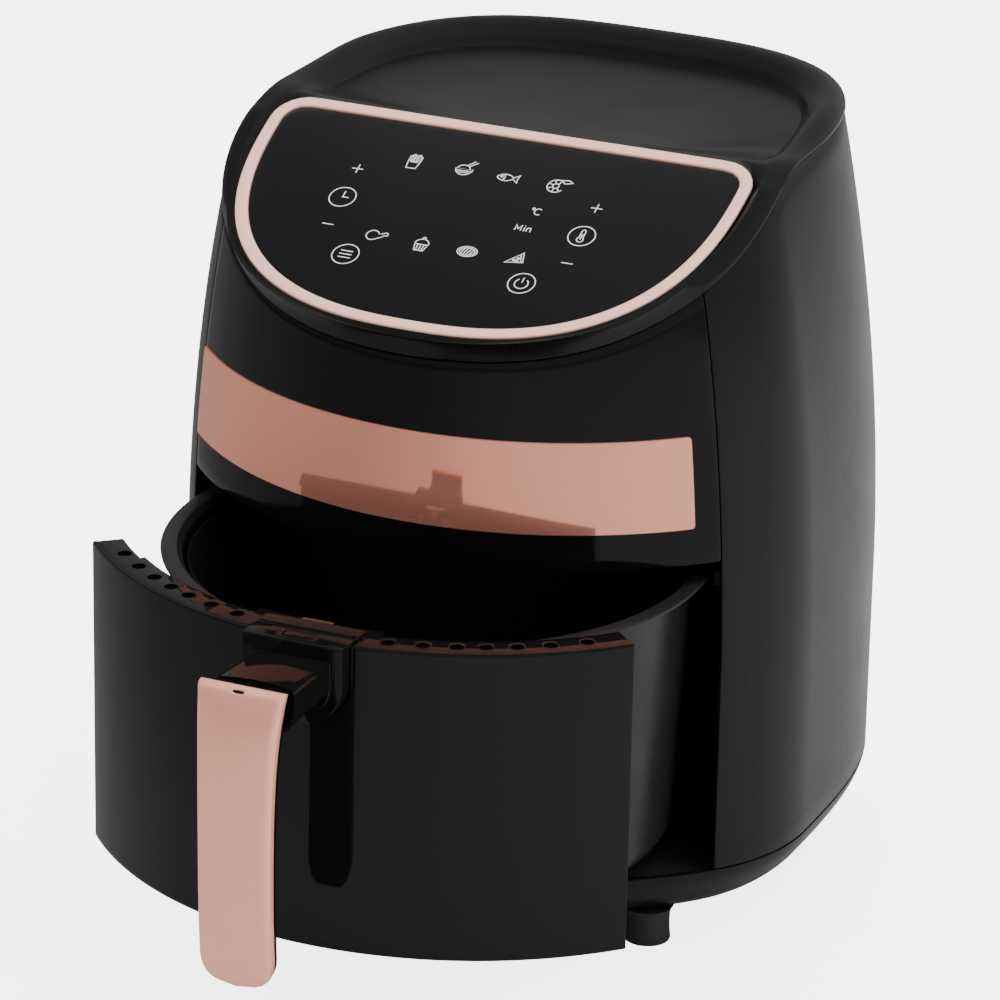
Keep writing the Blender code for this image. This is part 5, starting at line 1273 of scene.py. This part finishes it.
# parts seen only in gaps or from inside keep their frame shape
innerFinishes = {
    "drawer_cavity": drawerBlack, "chamber_roof": satinBlack, "heat_dome": pressedSteel, "hot_fan": pressedSteel,
    "heating_element": heaterSheath, "temperature_sensor": brightSteel, "thermal_fuse": ceramic,
    "motor_bracket": pressedSteel, "bracket_post_1": brightSteel, "bracket_post_2": brightSteel,
    "bracket_post_3": brightSteel, "fan_motor": pressedSteel, "motor_shaft": brightSteel, "cooling_fan": satinBlack,
    "drawer_rail_left": satinBlack, "drawer_rail_right": satinBlack, "control_board": boardGreen,
    "display_module": satinBlack, "power_board": boardGreen, "power_relay": satinBlack, "door_switch": satinBlack,
    "switch_lever": satinBlack, "latch_hook": brightSteel, "latch_rod": brightSteel}
for name, material in innerFinishes.items():
    node = nodes[name]
    while len(node.material_slots) < 1:
        node.data.materials.append(None)
    for place in node.material_slots:
        place.material = material
print("inner parts finished")

# floor, light and camera
# the floor colour that reflections see is painted from dark at the left to light at the right: painted shade for the
# reflections
studio = {"floor": 8.0, "sky": 9.0, "reflected": (0.22, 0.6), "floorGlow": 4.0, "floorReflectionShade": (0.15, 0.42),
          "view": (23.98, 21.36, 1.13), "distance": 2.2, "target": (0.0, 0.0364, 0.158), "lens": 197.63}


def sideways(low, high, dark, bright):
    # a value running from dark at the left to bright at the right
    return {"apart": ("ShaderNodeSeparateXYZ", {}), "span": ("ShaderNodeMapRange", {
        "interpolation_type": "SMOOTHSTEP", "From Min": low, "From Max": high, "To Min": dark, "To Max": bright}),
        "path": ("ShaderNodeLightPath", {}), "coord": ("ShaderNodeTexCoord", {})}


def floorPiece():
    half = studio["floor"]
    floor = meshObject("studioFloor")
    floor.data.from_pydata([(-half, -half, 0.0), (half, -half, 0.0), (half, half, 0.0), (-half, half, 0.0)], [],
                           [(0, 1, 2, 3)])
    pale = bpy.data.materials.new("paleFloor")
    pale.use_nodes = True
    tree = pale.node_tree
    shader = tree.nodes["Principled BSDF"]
    shader.inputs["Roughness"].default_value = 0.8
    shader.inputs["Emission Color"].default_value = (1.0, 1.0, 1.0, 1.0)
    # reflections see a painted shade on the floor, darker at the left; the camera sees it pale and evenly glowing
    wire(tree, {"shader": shader}, {
        **sideways(-0.55, 0.35, *studio["floorReflectionShade"]),
        "mix": ("ShaderNodeMix", {"data_type": "RGBA", "6": (0.92, 0.92, 0.92, 1.0)}),
        "glow": ("ShaderNodeMath", {"operation": "MULTIPLY", "1": studio["floorGlow"]})}, (
        "coord.Object > apart.Vector", "apart.X > span.Value", "path.Is Glossy Ray > mix.0", "span.Result > mix.7",
        "mix.2 > shader.Base Color", "path.Is Camera Ray > glow.0", "glow.Value > shader.Emission Strength"))
    floor.data.materials.append(pale)


def softbox(name, place, aim, size, power):
    data = bpy.data.lights.new(name, "AREA")
    data.shape = "RECTANGLE"
    data.size, data.size_y = size
    data.energy = power
    lamp = bpy.data.objects.new(name, data)
    bpy.context.scene.collection.objects.link(lamp)
    lamp.visible_glossy = False
    lamp.location = place
    lamp.rotation_euler = (Vector(aim) - Vector(place)).to_track_quat("-Z", "Y").to_euler()


def worldLight():
    world = bpy.data.worlds.new("studioWorld")
    bpy.context.scene.world = world
    world.use_nodes = True
    tree = world.node_tree
    sky = tree.nodes["Background"]
    sky.inputs["Color"].default_value = (1.0, 1.0, 1.0, 1.0)
    wire(tree, {"sky": sky}, {**sideways(-0.9, 0.8, *studio["reflected"]), "mix": ("ShaderNodeMix", {
        "3": studio["sky"]})}, (
        "coord.Generated > apart.Vector", "apart.X > span.Value", "path.Is Camera Ray > mix.0",
        "span.Result > mix.2", "mix.0 > sky.Strength"))


floorPiece()
softbox("topSoftbox", (0.2, 0.4, 2.2), (0.0, 0.0, 0.1), (2.4, 1.6), 95.0)
softbox("leftSoftbox", (-1.7, -0.8, 1.1), (0.0, 0.0, 0.15), (0.9, 1.5), 30.0)
softbox("rightSoftbox", (2.0, -0.2, 1.0), (0.0, 0.0, 0.15), (1.2, 1.6), 26.0)
worldLight()

azimuth, elevation, roll = (math.radians(v) for v in studio["view"])
back = Vector((math.sin(azimuth) * math.cos(elevation), -math.cos(azimuth) * math.cos(elevation),
               math.sin(elevation)))
right = Vector((math.cos(azimuth), math.sin(azimuth), 0.0))
up = back.cross(right)
right, up = (right * math.cos(roll) + up * math.sin(roll), up * math.cos(roll) - right * math.sin(roll))
cameraData = bpy.data.cameras.new("studioCamera")
cameraData.lens = studio["lens"]
cameraData.sensor_width = 36.0
camera = bpy.data.objects.new("studioCamera", cameraData)
bpy.context.scene.collection.objects.link(camera)
turn = Matrix((right, up, back)).transposed().to_4x4()
camera.matrix_world = Matrix.Translation(Vector(studio["target"]) + back * studio["distance"]) @ turn
bpy.context.scene.camera = camera
print("studio ready")
